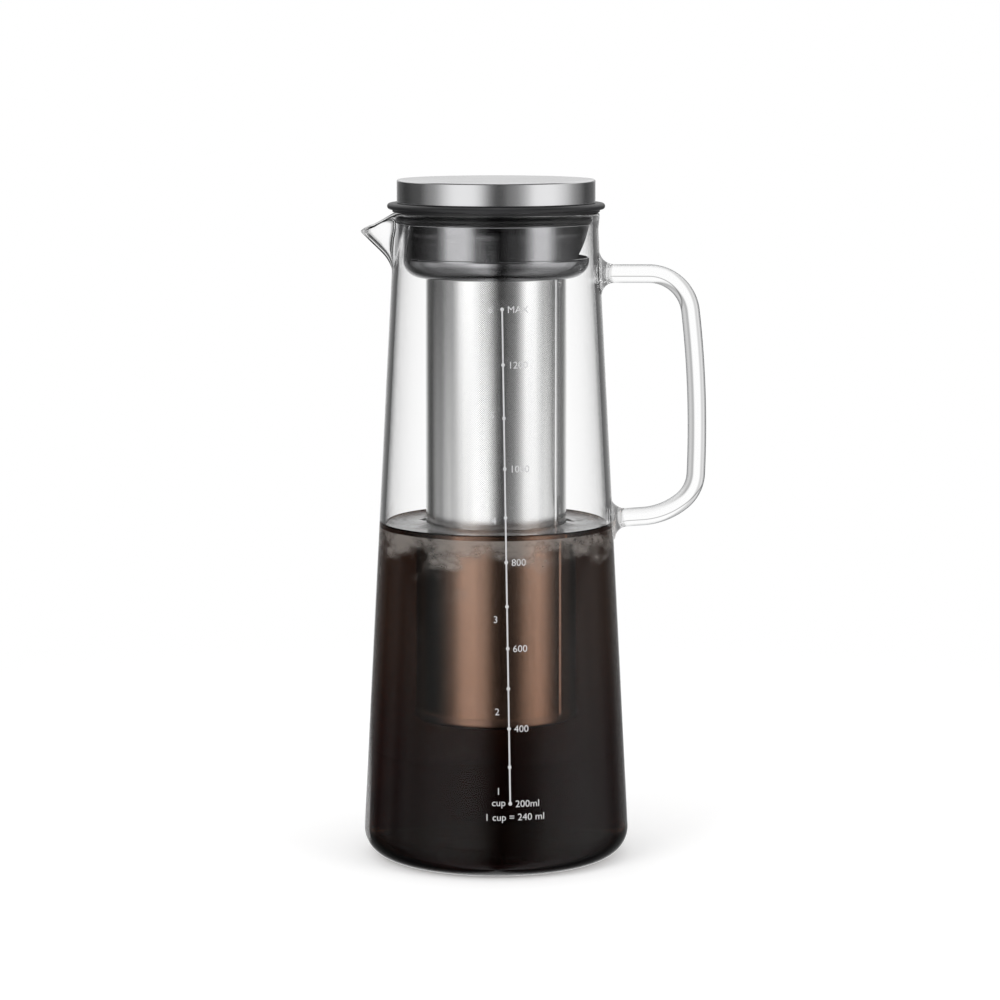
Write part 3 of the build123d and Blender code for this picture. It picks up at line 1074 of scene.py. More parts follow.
@dataclass
class Carafe(SubAssembly):
    """The blown glass body: a tall cone with a round foot, and a fire-polished rim with a spout."""

    body: ClassVar[Body] = Body.CARAFE
    base_round: float = 10.5
    neck_round: float = 30.0
    wall: float = 2.2
    floor: float = 3.5
    rim_top: float = 252.4
    rim_radius: float = 40.1
    mouth_radius: float = 37.35
    mouth_z: float = 244.0
    bead_points: int = 13
    spout_start_z: float = 226.0
    spout_low_z: float = 230.0
    spout_low_reach: float = 37.4
    spout_slope: float = 1.032
    spout_base_x: float = 33.0
    spout_low_half: float = 6.0
    spout_top_half: float = 13.4
    spout_top_z: float = 254.4
    spout_nose: float = 0.10
    spout_wall: float = 1.9
    spout_nose_wall: float = 2.7
    blend: float = 5.0
    blend_rise: float = 6.0
    segments: int = 256
    bunching: float = 0.72  # how far the segments crowd at the spout
    bunching_width: float = 1.1
    spacing: float = 3.0
    # the lip from the side: distance from the axis, and height
    lip: tuple[tuple[float, float], ...] = (
        (35.0, 252.4),
        (38.0, 252.2),
        (40.5, 251.1),
        (44.0, 249.1),
        (47.0, 247.5),
        (49.6, 246.7),
        (51.2, 246.0),
        (52.3, 245.1),
        (54.0, 243.6),
    )
    lip_share: float = 0.4  # where the lip's line is read, from the outer wall to the inner one
    lip_rounds: int = 40

    @property
    def half_rim(self) -> float:
        """Half of the rim's thickness, which is the radius of its bead."""
        return (self.rim_radius - self.mouth_radius) / 2

    @property
    def spring_z(self) -> float:
        """The height from which the rim's bead springs."""
        return self.rim_top - self.half_rim

    def profile(self) -> tuple[Array, Array, Array]:
        """The wall's section.

        Returns:
            The radius and height of each point from the middle of the base, over the rim, to the middle of
            the floor; the share of the way from the outer to the inner wall, which is between 0 and 1 only
            round the rim's bead; and whether the point is on the bead.
        """
        outer = [
            (0, 0, 0),
            (cone_radius(0), 0, self.base_round),
            (NECK_RADIUS, NECK_Z, self.neck_round),
            (self.rim_radius, self.spring_z, 0),
        ]
        inner = [
            (self.mouth_radius, self.spring_z, 0),
            (self.mouth_radius, self.mouth_z, self.neck_round),
            (cone_radius(self.floor, self.wall), self.floor, self.base_round - self.wall),
            (0, self.floor, 0),
        ]
        fine_z = self.spout_start_z - self.spacing
        outer, inner = (dense(rounded(line, steps=18), self.spacing, fine_z) for line in (outer, inner))
        turn = np.linspace(0, np.pi, self.bead_points + 2)[1:-1]
        bead_radius = self.mouth_radius + self.half_rim + self.half_rim * np.cos(turn)
        bead = np.column_stack([bead_radius, self.spring_z + self.half_rim * np.sin(turn)])
        share = np.concatenate([np.zeros(len(outer)), (1 - np.cos(turn)) / 2, np.ones(len(inner))])
        on_bead = np.concatenate([np.zeros(len(outer)), np.ones(len(bead)), np.zeros(len(inner))]) > 0
        return np.vstack([outer, bead, inner]), share, on_bead

    def spout_radius(self, z: Array, angle: Array, share: Array) -> Array:
        """The distance of the spout's side from the axis.

        In plan each side is a straight line, whose distance from the axis is the reach times the sine of the
        half angle at the tip. Along the angle from the tip, the radius is that distance over the cosine of
        the angle left to the line's foot. The root of the squared angle and a small square rounds the tip.

        Args:
            z: height.
            angle: angle from the spout's middle, either side.
            share: 0 for the outer wall and 1 for the inner one.

        Returns:
            The radius.
        """
        reach = self.spout_low_reach + self.spout_slope * (z - self.spout_low_z)
        rise = (z - self.spout_low_z) / (self.spout_top_z - self.spout_low_z)
        half = self.spout_low_half + (self.spout_top_half - self.spout_low_half) * rise
        tip = np.arctan2(half, reach - self.spout_base_x)
        foot = reach * np.sin(tip) - self.spout_wall * share
        reach = reach - self.spout_nose_wall * share
        lean = np.pi / 2 - np.arcsin(np.clip(foot / reach, 0, 1))
        away = np.sqrt(angle**2 + self.spout_nose**2) - self.spout_nose
        return foot / np.cos(np.maximum(lean - away, 0))

    def wall_radius(self, radius: Array, z: Array, angle: Array, share: Array | float) -> Array:
        """The glass's radius with the spout, a smooth union of the round wall and the spout's sides.

        Args:
            radius: the round wall's radius.
            z: height.
            angle: angle from the spout's middle.
            share: 0 for the outer wall and 1 for the inner one.

        Returns:
            The larger of the two radii, plus the square of what is left of the blend over four blends.
        """
        spout = self.spout_radius(np.maximum(z, self.spout_low_z), angle, share)
        near = np.maximum(self.blend - np.abs(radius - spout), 0) / self.blend
        fade = np.clip((z - self.spout_start_z) / self.blend_rise, 0, 1)
        return np.maximum(radius, spout) + near**2 * self.blend / 4 * fade

    def rim_height(self, angle: Array) -> Array:
        """The rim's height at each angle: the lip's height at the rim's own reach, by repeated averaging.

        Args:
            angle: angles from the spout's middle.

        Returns:
            The heights.
        """
        lip_x, lip_z = np.array(self.lip).T
        top = np.full_like(angle, self.rim_top)
        middle = np.full_like(angle, (self.rim_radius + self.mouth_radius) / 2)
        for _ in range(self.lip_rounds):
            reach = self.wall_radius(middle, top, angle, self.lip_share) * np.cos(angle)
            top = (top + np.interp(reach, lip_x, lip_z)) / 2
        return top

    def glass(self) -> Surface:
        """The whole glass: above the spout's start, each point is drawn down towards the rim's own height.

        Returns:
            The closed surface.
        """
        line, share, on_bead = self.profile()
        angle = np.linspace(-np.pi, np.pi, self.segments, endpoint=False)
        crowd = np.sin(angle) * np.exp(-((angle / self.bunching_width) ** 2))
        angle = angle - self.bunching * crowd
        round_radius, flat = line[:, :1], line[:, 1:]
        lift = np.clip((flat - self.spout_start_z) / (self.spring_z - self.spout_start_z), 0, 1)
        z = flat - (self.rim_top - self.rim_height(angle)) * lift
        outer = self.wall_radius(np.where(on_bead[:, None], self.rim_radius, round_radius), z, angle, 0.0)
        inner = self.wall_radius(np.where(on_bead[:, None], self.mouth_radius, round_radius), z, angle, 1.0)
        share = share[:, None]
        radius = np.where(flat < self.spout_start_z, round_radius, outer * (1 - share) + inner * share)
        return grid_surface(about_axis(radius, angle, z) * (-1, 1, 1), wrap_columns=True)

    def build(self) -> None:
        """The body is one piece of glass."""
        glass = mesh_object("carafe_glass", self.glass(), WallGlass(feet=RodHandle().feet()))
        self.mount(glass, ["carafe"], Slot.GLASS)


@dataclass
class RodHandle(SubAssembly):
    """A bent glass rod whose flared feet are fused to the carafe's wall."""

    body: ClassVar[Body] = Body.CARAFE
    rod_radius: float = 3.6
    bar_z: float = 228.45
    start_x: float = 39.48
    # length and radius of each stretch, a radius of 0 being straight
    stretches: tuple[tuple[float, float], ...] = (
        (19.62, 0.0),
        (23.815, 16.4),
        (63.69, 401.0),
        (12.52, 14.7),
        (16.493, 27.0),
        (14.0, 0.0),
    )
    foot_radius: float = 8.3
    foot_length: float = 5.4
    sunk: float = 0.8
    path_steps: int = 12000
    rings: int = 224
    foot_every: int = 22  # path steps between two rings of a foot
    around: int = 56

    def path(self) -> tuple[Array, Array]:
        """The rod's middle line.

        The heading is the running sum of the curvature, and the line is the running sum of the heading's
        cosine and sine.

        Returns:
            The line's x and z, and its heading.
        """
        length, bend = np.array(self.stretches).T
        ends = np.cumsum(length)
        curvature = np.where(bend > 0, 1 / np.maximum(bend, 1), 0)
        s = np.linspace(0, ends[-1], self.path_steps + 1)
        rate = curvature[np.minimum(np.searchsorted(ends, s, side="right"), len(ends) - 1)]
        step = s[1] - s[0]
        heading = -np.concatenate([[0], np.cumsum((rate[1:] + rate[:-1]) / 2 * step)])
        across = np.column_stack([np.cos(heading), np.sin(heading)])
        line = np.vstack([[0, 0], np.cumsum((across[1:] + across[:-1]) / 2 * step, axis=0)])
        return line + (self.start_x, self.bar_z), heading

    def feet(self) -> tuple[float, float]:
        """The heights at which the middle line leaves the wall's face and comes back to it.

        Returns:
            The upper and the lower foot's height.
        """
        line, _ = self.path()
        outside = line[line[:, 0] > cone_radius(line[:, 1]), 1]
        return float(outside[0]), float(outside[-1])

    def rod(self) -> Surface:
        """Circles carried along the path, wider at the feet, where they also bend to the wall.

        A foot's radius is the rod's plus a quarter circle's rise over the foot's length. Near the wall each
        point moves along x by the difference between the wall's round face and its middle line.

        Returns:
            The closed surface.
        """
        line, heading = self.path()
        off = line[:, 0] - cone_radius(line[:, 1])
        keep = np.flatnonzero(off >= -self.sunk)
        even = np.linspace(keep[0], keep[-1], self.rings).astype(int)
        near = keep[off[keep] < self.foot_length + 0.2][:: self.foot_every]
        pick = np.unique(np.concatenate([even, near]))
        line, heading, off = line[pick], heading[pick, None], off[pick]
        rise = self.foot_radius - self.rod_radius
        sweep = (self.foot_length**2 + rise**2) / (2 * rise)
        inside = np.clip(self.foot_length - off, 0, self.foot_length)
        radius = (self.rod_radius + sweep - np.sqrt(sweep**2 - inside**2))[:, None]
        turn = np.linspace(0, tau, self.around, endpoint=False)
        x = line[:, :1] - np.sin(heading) * radius * np.cos(turn)
        y = radius * np.sin(turn)
        z = line[:, 1:] + np.cos(heading) * radius * np.cos(turn)
        share = np.clip(1 - off / self.foot_length, 0, 1)[:, None] ** 2
        x = x + (np.sqrt(cone_radius(z) ** 2 - y**2) - cone_radius(line[:, 1:])) * share
        return closed_tube(np.stack([x, y, z], axis=-1))

    def build(self) -> None:
        """The handle is one rod."""
        self.mount(mesh_object("handle_rod", self.rod(), RodGlass()), ["handle"], Slot.GLASS)


@dataclass
class PrintedScale(SubAssembly):
    """The measuring scale fired on the glass: a line with a dot each 100 ml, and plain numbers."""

    body: ClassVar[Body] = Body.CARAFE
    line_half: float = 0.32
    dot_radius: float = 0.72
    low_x: float = 5.4
    high_x: float = 2.3
    # heights of the dots from 200 ml up, and of the cup numbers from 1 up
    dots: tuple[float, ...] = (
        *(30.1, 44.1, 58.8, 74.1, 89.4, 105.4),
        *(122.2, 139.1, 157.6, 176.7, 196.8, 217.7),
    )
    cups: tuple[float, ...] = (35.0, 65.4, 100.6, 138.0, 178.0, 217.7)
    volumes: tuple[str, ...] = ("200ml", "400", "600", "800", "1000", "1200")
    volume_off: float = 1.9
    cup_off: float = -4.4
    lift: float = 0.09
    coat: float = 0.06
    letter: float = 3.75
    letter_middle: float = 0.36

    def words(self) -> list[tuple[str, float, float, Side]]:
        """The volumes beside every other dot, the cup numbers, and the legend.

        Returns:
            Text, height of its middle, x from the line, and side it starts from, of each word.
        """
        marked = [*zip(self.volumes, self.dots[::2]), ("MAX", self.dots[-1])]
        volumes = [(text, z, self.volume_off, Side.LEFT) for text, z in marked]
        cups = [(str(count), z, self.cup_off, Side.CENTRE) for count, z in enumerate(self.cups, 1)]
        cup, legend = ("cup", 30.6, -1.7, Side.RIGHT), ("1 cup = 240 ml", 25.0, 1.6, Side.CENTRE)
        return [*volumes, *cups, cup, legend]

    def line_x(self, z: Array | float) -> Array | float:
        """The line's x at a height, which runs evenly from its low to its high end."""
        share = (z - self.dots[0]) / (self.dots[-1] - self.dots[0])
        return self.low_x + share * (self.high_x - self.low_x)

    def on_glass(self, x: Array, z: Array, lift: float) -> Array:
        """Flat points bent to the glass: y is minus the root of the lifted radius squared less x squared."""
        return np.stack([x, -np.sqrt((cone_radius(z) + lift) ** 2 - x**2), z], axis=-1)

    def scale_line(self) -> Surface:
        """Line and dots as one closed strip.

        Its half width is the larger of the line's and, within a dot, the root of the dot's radius squared
        less the height from its middle squared.

        Returns:
            The closed surface.
        """
        marks = np.array(self.dots)
        arc = np.sin(np.linspace(-np.pi / 2, np.pi / 2, 17)) * self.dot_radius
        between = np.linspace(marks[0], marks[-1], 160)
        z = np.unique(np.round(np.concatenate([(marks[:, None] + arc).ravel(), between]), 4))
        from_dot = np.abs(z[:, None] - marks).min(axis=1)
        dot = np.sqrt(np.maximum(self.dot_radius**2 - from_dot**2, 0))
        on_line = (z > marks[0] - self.line_half) & (z < marks[-1] + self.line_half)
        half = np.maximum(dot, np.where(on_line, self.line_half, 0))[:, None]
        x = self.line_x(z)[:, None] + half * np.array([-1.0, -0.33, 0.33, 1.0])
        z = np.broadcast_to(z[:, None], x.shape)
        face, back = self.on_glass(x, z, self.lift), self.on_glass(x[:, ::-1], z, self.lift - self.coat)
        return grid_surface(np.concatenate([face, back], axis=1), wrap_columns=True)

    def word(self, text: str, z: float, off: float, side: Side) -> bpy.types.Object:
        """One word as a thin coat on the glass.

        Args:
            text: what it says.
            z: the height of its middle.
            off: its x from the line.
            side: the side that it starts from.

        Returns:
            The word's object.
        """
        curve = bpy.data.curves.new("word", "FONT")
        curve.body, curve.size, curve.align_x, curve.resolution_u = text, self.letter, side.value, 3
        flat = linked_object("word", curve)
        bpy.context.view_layer.update()
        mesh = bpy.data.meshes.new_from_object(flat)
        bpy.data.objects.remove(flat)
        points = np.empty(len(mesh.vertices) * 3, np.float32)
        mesh.vertices.foreach_get("co", points)
        across, up, _ = points.reshape(-1, 3).astype(float).T
        height = z + up - self.letter * self.letter_middle
        set_points(mesh, self.on_glass(self.line_x(z) + off + across, height, self.lift))
        mesh.materials.clear()
        mesh.materials.append(WhiteInk().material())
        made = linked_object("word", mesh)
        thicken(made, self.coat)
        return made

    def build(self) -> None:
        """Line and words become one piece, the words with a thickness of their own."""
        line = mesh_object("scale_print", self.scale_line(), WhiteInk())
        join(line, [self.word(*entry) for entry in self.words()])
        self.mount(line, ["printed_scale"], Slot.PRINT)


@dataclass
class Brew(SubAssembly):
    """The coffee in the carafe: its contents, which lap into the glass, so that no air shows between."""

    body: ClassVar[Body] = Body.CARAFE
    low: float = 0.8
    lap: float = 0.5
    creep: float = 1.5  # how high the liquid climbs at a wall
    creep_width: float = 2.2
    mesh_creep: float = 0.8  # how high it climbs at the mesh, in shares of that
    finest: float = 0.08  # the first step of the rings off a wall
    glass_rings: int = 22
    mesh_rings: int = 10
    mesh_reach: float = 3.5  # how far from the mesh its own rings go
    mesh_clear: float = 4.0  # how near to it the glass's rings come

    def liquid(self) -> Surface:
        """The wall's inner section, closed by a flat top that curves up to the glass and to the filter.

        The rise at a wall is the creep times the exponential of minus the distance over the creep's width.

        Returns:
            The closed surface.
        """
        carafe = Carafe()
        inset = carafe.wall - self.lap
        wall_top = BREW_TOP + self.creep
        outside = cone_radius(wall_top, inset)
        corners = [
            (0, self.low, 0),
            (cone_radius(carafe.floor, inset), self.low, carafe.base_round - inset),
            (outside, wall_top, 0),
        ]
        free = outside - MESH_RADIUS - self.mesh_clear
        near_glass = outside - np.geomspace(self.finest, free, self.glass_rings)
        near_mesh = MESH_RADIUS + np.geomspace(self.finest, self.mesh_reach, self.mesh_rings)
        radius = np.sort([*near_glass, *near_mesh, MESH_RADIUS, 24.0, 12.0, 0.0])[::-1]
        rise = np.exp((radius - outside) / self.creep_width)
        rise += self.mesh_creep * np.exp(-np.abs(radius - MESH_RADIUS) / self.creep_width)
        top = np.column_stack([radius, BREW_TOP + self.creep * rise])
        return turned(np.vstack([rounded(corners, steps=16), top]))

    def build(self) -> None:
        """The liquid is one piece, and stands for no node."""
        self.mount(mesh_object("coffee", self.liquid(), ColdBrew()))


@dataclass
class MouthSeal(SubAssembly):
    """The silicone seal: a flange over the rim, a sleeve in the mouth, and a lip that touches the glass."""

    body: ClassVar[Body] = Body.SEAL
    bore: float = 34.9
    sleeve: float = 36.2
    bottom: float = 248.6
    lip_radius: float = 37.05
    lip_z: float = 250.2
    lip_half: float = 1.1
    lip_edge_half: float = 0.3
    ledge_radius: float = 40.1
    ledge_z: float = 252.4
    flange_radius: float = 42.1
    flange_low: float = 253.5
    top: float = 255.8
    edge: float = 1.05

    def ring(self) -> Surface:
        """The seal's section, with its edges rounded, turned about Z.

        Returns:
            The closed surface.
        """
        corners = [
            (self.bore, self.bottom, 0.2),
            (self.sleeve, self.bottom, 0.3),
            (self.sleeve, self.lip_z - self.lip_half, 0.2),
            (self.lip_radius, self.lip_z - self.lip_edge_half, 0.4),
            (self.lip_radius, self.lip_z + self.lip_edge_half, 0.4),
            (self.sleeve, self.lip_z + self.lip_half, 0.2),
            (self.sleeve, self.ledge_z, 0.2),
            (self.ledge_radius, self.ledge_z, 0.3),
            (self.ledge_radius, self.flange_low, 0.3),
            (self.flange_radius, self.flange_low, self.edge),
            (self.flange_radius, self.top, self.edge),
            (self.bore, self.top, 0.1),
        ]
        return turned(rounded(corners, closed=True, ease=0.15), FINE_CIRCLE, closed=True)

    def build(self) -> None:
        """The seal is one ring."""
        self.mount(mesh_object("seal_ring", self.ring(), Silicone()), ["mouth_seal"], Slot.SILICONE)


@dataclass
class Lid(SubAssembly):
    """The steel cap on its plastic core, and the steel collar with a window, held by three screws."""

    body: ClassVar[Body] = Body.LID
    top: float = 265.0
    crown: float = 0.06
    crown_fall: float = 0.9  # how much of the crown its top has
    crown_inset: float = 2.0
    crown_rows: int = 12
    cap_radius: float = 38.4
    cap_edge: float = 0.8
    cap_bottom: float = 255.9
    sheet: float = 0.6
    hem: float = 1.2
    collar_radius: float = 36.1
    collar_neck: float = 34.8
    shoulder_z: float = 248.5
    seam_z: float = 235.3
    window_half: float = 20.3
    window_top_half: float = 9.4
    window_top: float = 247.5
    window_round: float = 2.0
    skirt_rows: int = 12
    columns: int = 200
    window_columns: int = 25

    def cap(self) -> Surface:
        """A shallow pressed cap with a slightly crowned top, a small edge radius and a turned-in hem.

        Returns:
            The closed surface.
        """
        side_top = self.top - self.crown
        inside = self.cap_radius - self.sheet
        hem_inside = self.cap_radius - self.hem
        hem_top = self.cap_bottom + self.sheet
        reach = np.linspace(0, 1, self.crown_rows)[:-1]
        fall = self.crown * reach**2 * self.crown_fall
        crowned = np.column_stack([reach * (self.cap_radius - self.crown_inset), self.top - fall])
        corners = [
            (*crowned[-1], 0),
            (self.cap_radius, side_top, self.cap_edge),
            (self.cap_radius, self.cap_bottom, 0.3),
            (hem_inside, self.cap_bottom, 0),
            (hem_inside, hem_top, 0),
            (inside, hem_top, 0),
            (inside, side_top - self.sheet, 0.4),
            (0, self.top - self.sheet, 0),
        ]
        return turned(np.vstack([crowned[:-1], rounded(corners)]), FINE_CIRCLE)

    def window_edge(self) -> Array:
        """Half of the window's outline, from its foot to the end of its round corner.

        Returns:
            The half width and height of each point, in rising order.
        """
        corners = [
            (self.window_half, self.seam_z, 0),
            (self.window_top_half, self.window_top, self.window_round),
            (0, self.window_top, 0),
        ]
        line = rounded(corners, steps=10)
        climbing = np.concatenate([[True], np.diff(line[:, 1]) > 1e-5])
        return line[climbing]

    def collar(self) -> Surface:
        """The collar as a grid whose columns part round the window.

        At each height the columns run evenly from one side of the window round the back to the other. The
        side's angle is the arc sine of the window's half width over the radius. The columns within the
        window are left open below its top.

        Returns:
            The open surface, before it has its thickness.
        """
        edge = self.window_edge()
        skirt = np.concatenate([edge[:, 1], np.linspace(self.seam_z, edge[-3, 1], self.skirt_rows)])
        heights = np.unique(np.round(skirt, 4))
        corners = [
            (self.collar_radius, self.window_top, 0),
            (self.collar_radius, self.shoulder_z, 0.45),
            (self.collar_neck, self.shoulder_z, 0),
            (self.collar_neck, self.cap_bottom, 0),
            (0, self.cap_bottom, 0),
        ]
        below = np.column_stack([np.full_like(heights, self.collar_radius), heights])
        profile = np.vstack([below, rounded(corners, ease=0.1)[1:]])
        half = np.interp(profile[:, 1], edge[:, 1], edge[:, 0])
        side = np.arcsin(half / self.collar_radius)[:, None]
        main = np.linspace(0, 1, self.columns)
        window = np.linspace(0, 1, self.window_columns)[1:-1]
        angle = np.hstack([side + main * (tau - 2 * side), tau - side + window * 2 * side])
        row, column = np.indices(angle.shape)
        opened = (row < len(heights) - 1) & (column >= self.columns - 1)
        return grid_surface(about_axis(profile[:, :1], angle, profile[:, 1:]), wrap_columns=True, drop=opened)

    def build(self) -> None:
        """Cap and collar are new surfaces; core, screws and washers are the CAD's."""
        self.mount(mesh_object("cap", self.cap(), BrushedSteel()), ["cap_shell"], Slot.STEEL)
        collar = mesh_object("window_collar", self.collar(), collar_steel())
        thicken(collar, self.sheet)
        self.mount(collar, ["collar"], Slot.STEEL)
        self.dress("cap_core", MouldedPlastic())
        self.dress("lid_screws", BrushedSteel())
        self.dress("screw_washers", Silicone())


@dataclass
class BrewFilter(SubAssembly):
    """The brewing filter: a cup that clips into the collar, a long mesh tube, and a pan that closes it."""

    body: ClassVar[Body] = Body.FILTER
    cup_radius: float = 36.1
    cup_top: float = 235.1
    cup_bottom: float = 227.2
    cup_round: float = 7.1
    cup_bore: float = 27.4
    sheet: float = 0.6
    mesh_sheet: float = 0.4
    bottom: float = 54.4
    pan_sheet: float = 0.5
    pan_rim: float = 4.0
    pan_round: float = 1.6
    strip_angle: float = -31.6
    strip_width: float = 3.2
    strip_sheet: float = 0.4
    strip_crown: float = 0.3
    strip_columns: int = 17
    strip_rows: int = 40

    def cup(self) -> Surface:
        """A dished ring: a side that turns in by a quarter round to a floor with a bore.

        Returns:
            The closed surface.
        """
        inside = self.cup_radius - self.sheet
        floor = self.cup_bottom + self.sheet
        corners = [
            (self.cup_radius, self.cup_top, 0.12),
            (inside, self.cup_top, 0.12),
            (inside, floor, self.cup_round - self.sheet),
            (self.cup_bore, floor, 0),
            (self.cup_bore, self.cup_bottom, 0.2),
            (self.cup_radius, self.cup_bottom, self.cup_round),
        ]
        return turned(rounded(corners, closed=True, steps=12), FINE_CIRCLE, closed=True)

    def tube(self) -> Surface:
        """The mesh as a plain tube wall, from the pan's floor to the cup's.

        Returns:
            The closed surface.
        """
        inner = MESH_RADIUS - self.mesh_sheet
        low, high = self.bottom + self.pan_sheet, self.cup_bottom + self.sheet
        corners = [(MESH_RADIUS, low, 0), (MESH_RADIUS, high, 0), (inner, high, 0), (inner, low, 0)]
        return turned(rounded(corners, closed=True), closed=True)

    def pan(self) -> Surface:
        """A shallow pan whose rim goes round the mesh.

        Returns:
            The closed surface.
        """
        outer = MESH_RADIUS + self.pan_sheet
        floor, rim = self.bottom + self.pan_sheet, self.bottom + self.pan_rim
        corners = [
            (0, self.bottom, 0),
            (outer, self.bottom, self.pan_round),
            (outer, rim, 0.15),
            (MESH_RADIUS, rim, 0),
            (MESH_RADIUS, floor, 0),
            (0, floor, 0),
        ]
        return turned(rounded(corners))

    def strip(self) -> Surface:
        """The lap of the mesh's seam: a bar bent to the tube, as long as the mesh shows.

        Its face falls off to both edges by the crown times the cube of the share of the half width.

        Returns:
            The closed surface.
        """
        share = np.linspace(-1, 1, self.strip_columns)
        turn = radians(self.strip_angle) + np.arcsin(self.strip_width / 2 / MESH_RADIUS) * share
        face = MESH_RADIUS + self.strip_sheet - self.strip_crown * np.abs(share) ** 3
        radius = np.concatenate([face, np.full(self.strip_columns, MESH_RADIUS)])
        z = np.linspace(self.bottom + self.pan_rim + 0.2, self.cup_bottom, self.strip_rows)[:, None]
        return closed_tube(about_axis(radius, np.concatenate([turn, turn[::-1]]), z))

    def build(self) -> None:
        """Cup, mesh, seam and pan are new surfaces; clips and hoops are the CAD's."""
        seam_steel = WovenSteel("seam_steel", grey(0.92), (0.70, 0.70, 0.71), roughness=0.13)
        cup = mesh_object("filter_cup_dish", self.cup(), collar_steel())
        tube = mesh_object("mesh_tube", self.tube(), WovenSteel())
        seam = mesh_object("mesh_seam", self.strip(), seam_steel)
        pan = mesh_object("mesh_pan", self.pan(), BrushedSteel())
        self.mount(cup, ["filter_cup"], Slot.STEEL)
        self.mount(tube, ["filter_mesh"], Slot.MESH)
        self.mount(seam, ["filter_seam_strip"], Slot.STEEL)
        self.mount(pan, ["filter_pan"], Slot.STEEL)
        for node in ("filter_clips", "filter_top_hoop", "filter_low_hoop"):
            self.dress(node, BrushedSteel())


# -------------------------------------------------------------------------------------------- studio
class Direction:
    """The direction in which a ray leaves for the room, as wires."""

    def __init__(self, sheet: NodeSheet) -> None:
        """Reads the direction.

        The compass is 0 to 1: the arc tangent of x over minus y, as a share of the full turn, plus a half.

        Args:
            sheet: the world's node sheet.
        """
        self.sheet = sheet
        x, self.y, self.z = sheet.split(sheet.add("ShaderNodeTexCoord", output="Generated"))
        self.compass = x.math("ARCTAN2", -self.y) / tau + 0.5

    def ring(self, stops: Sequence[Stop]) -> Wire:
        """The brightness of a ring of boxes, whose stops are compass degrees and greys."""
        return self.sheet.ramp(self.compass, [(angle / 360 + 0.5, value) for angle, value in stops])


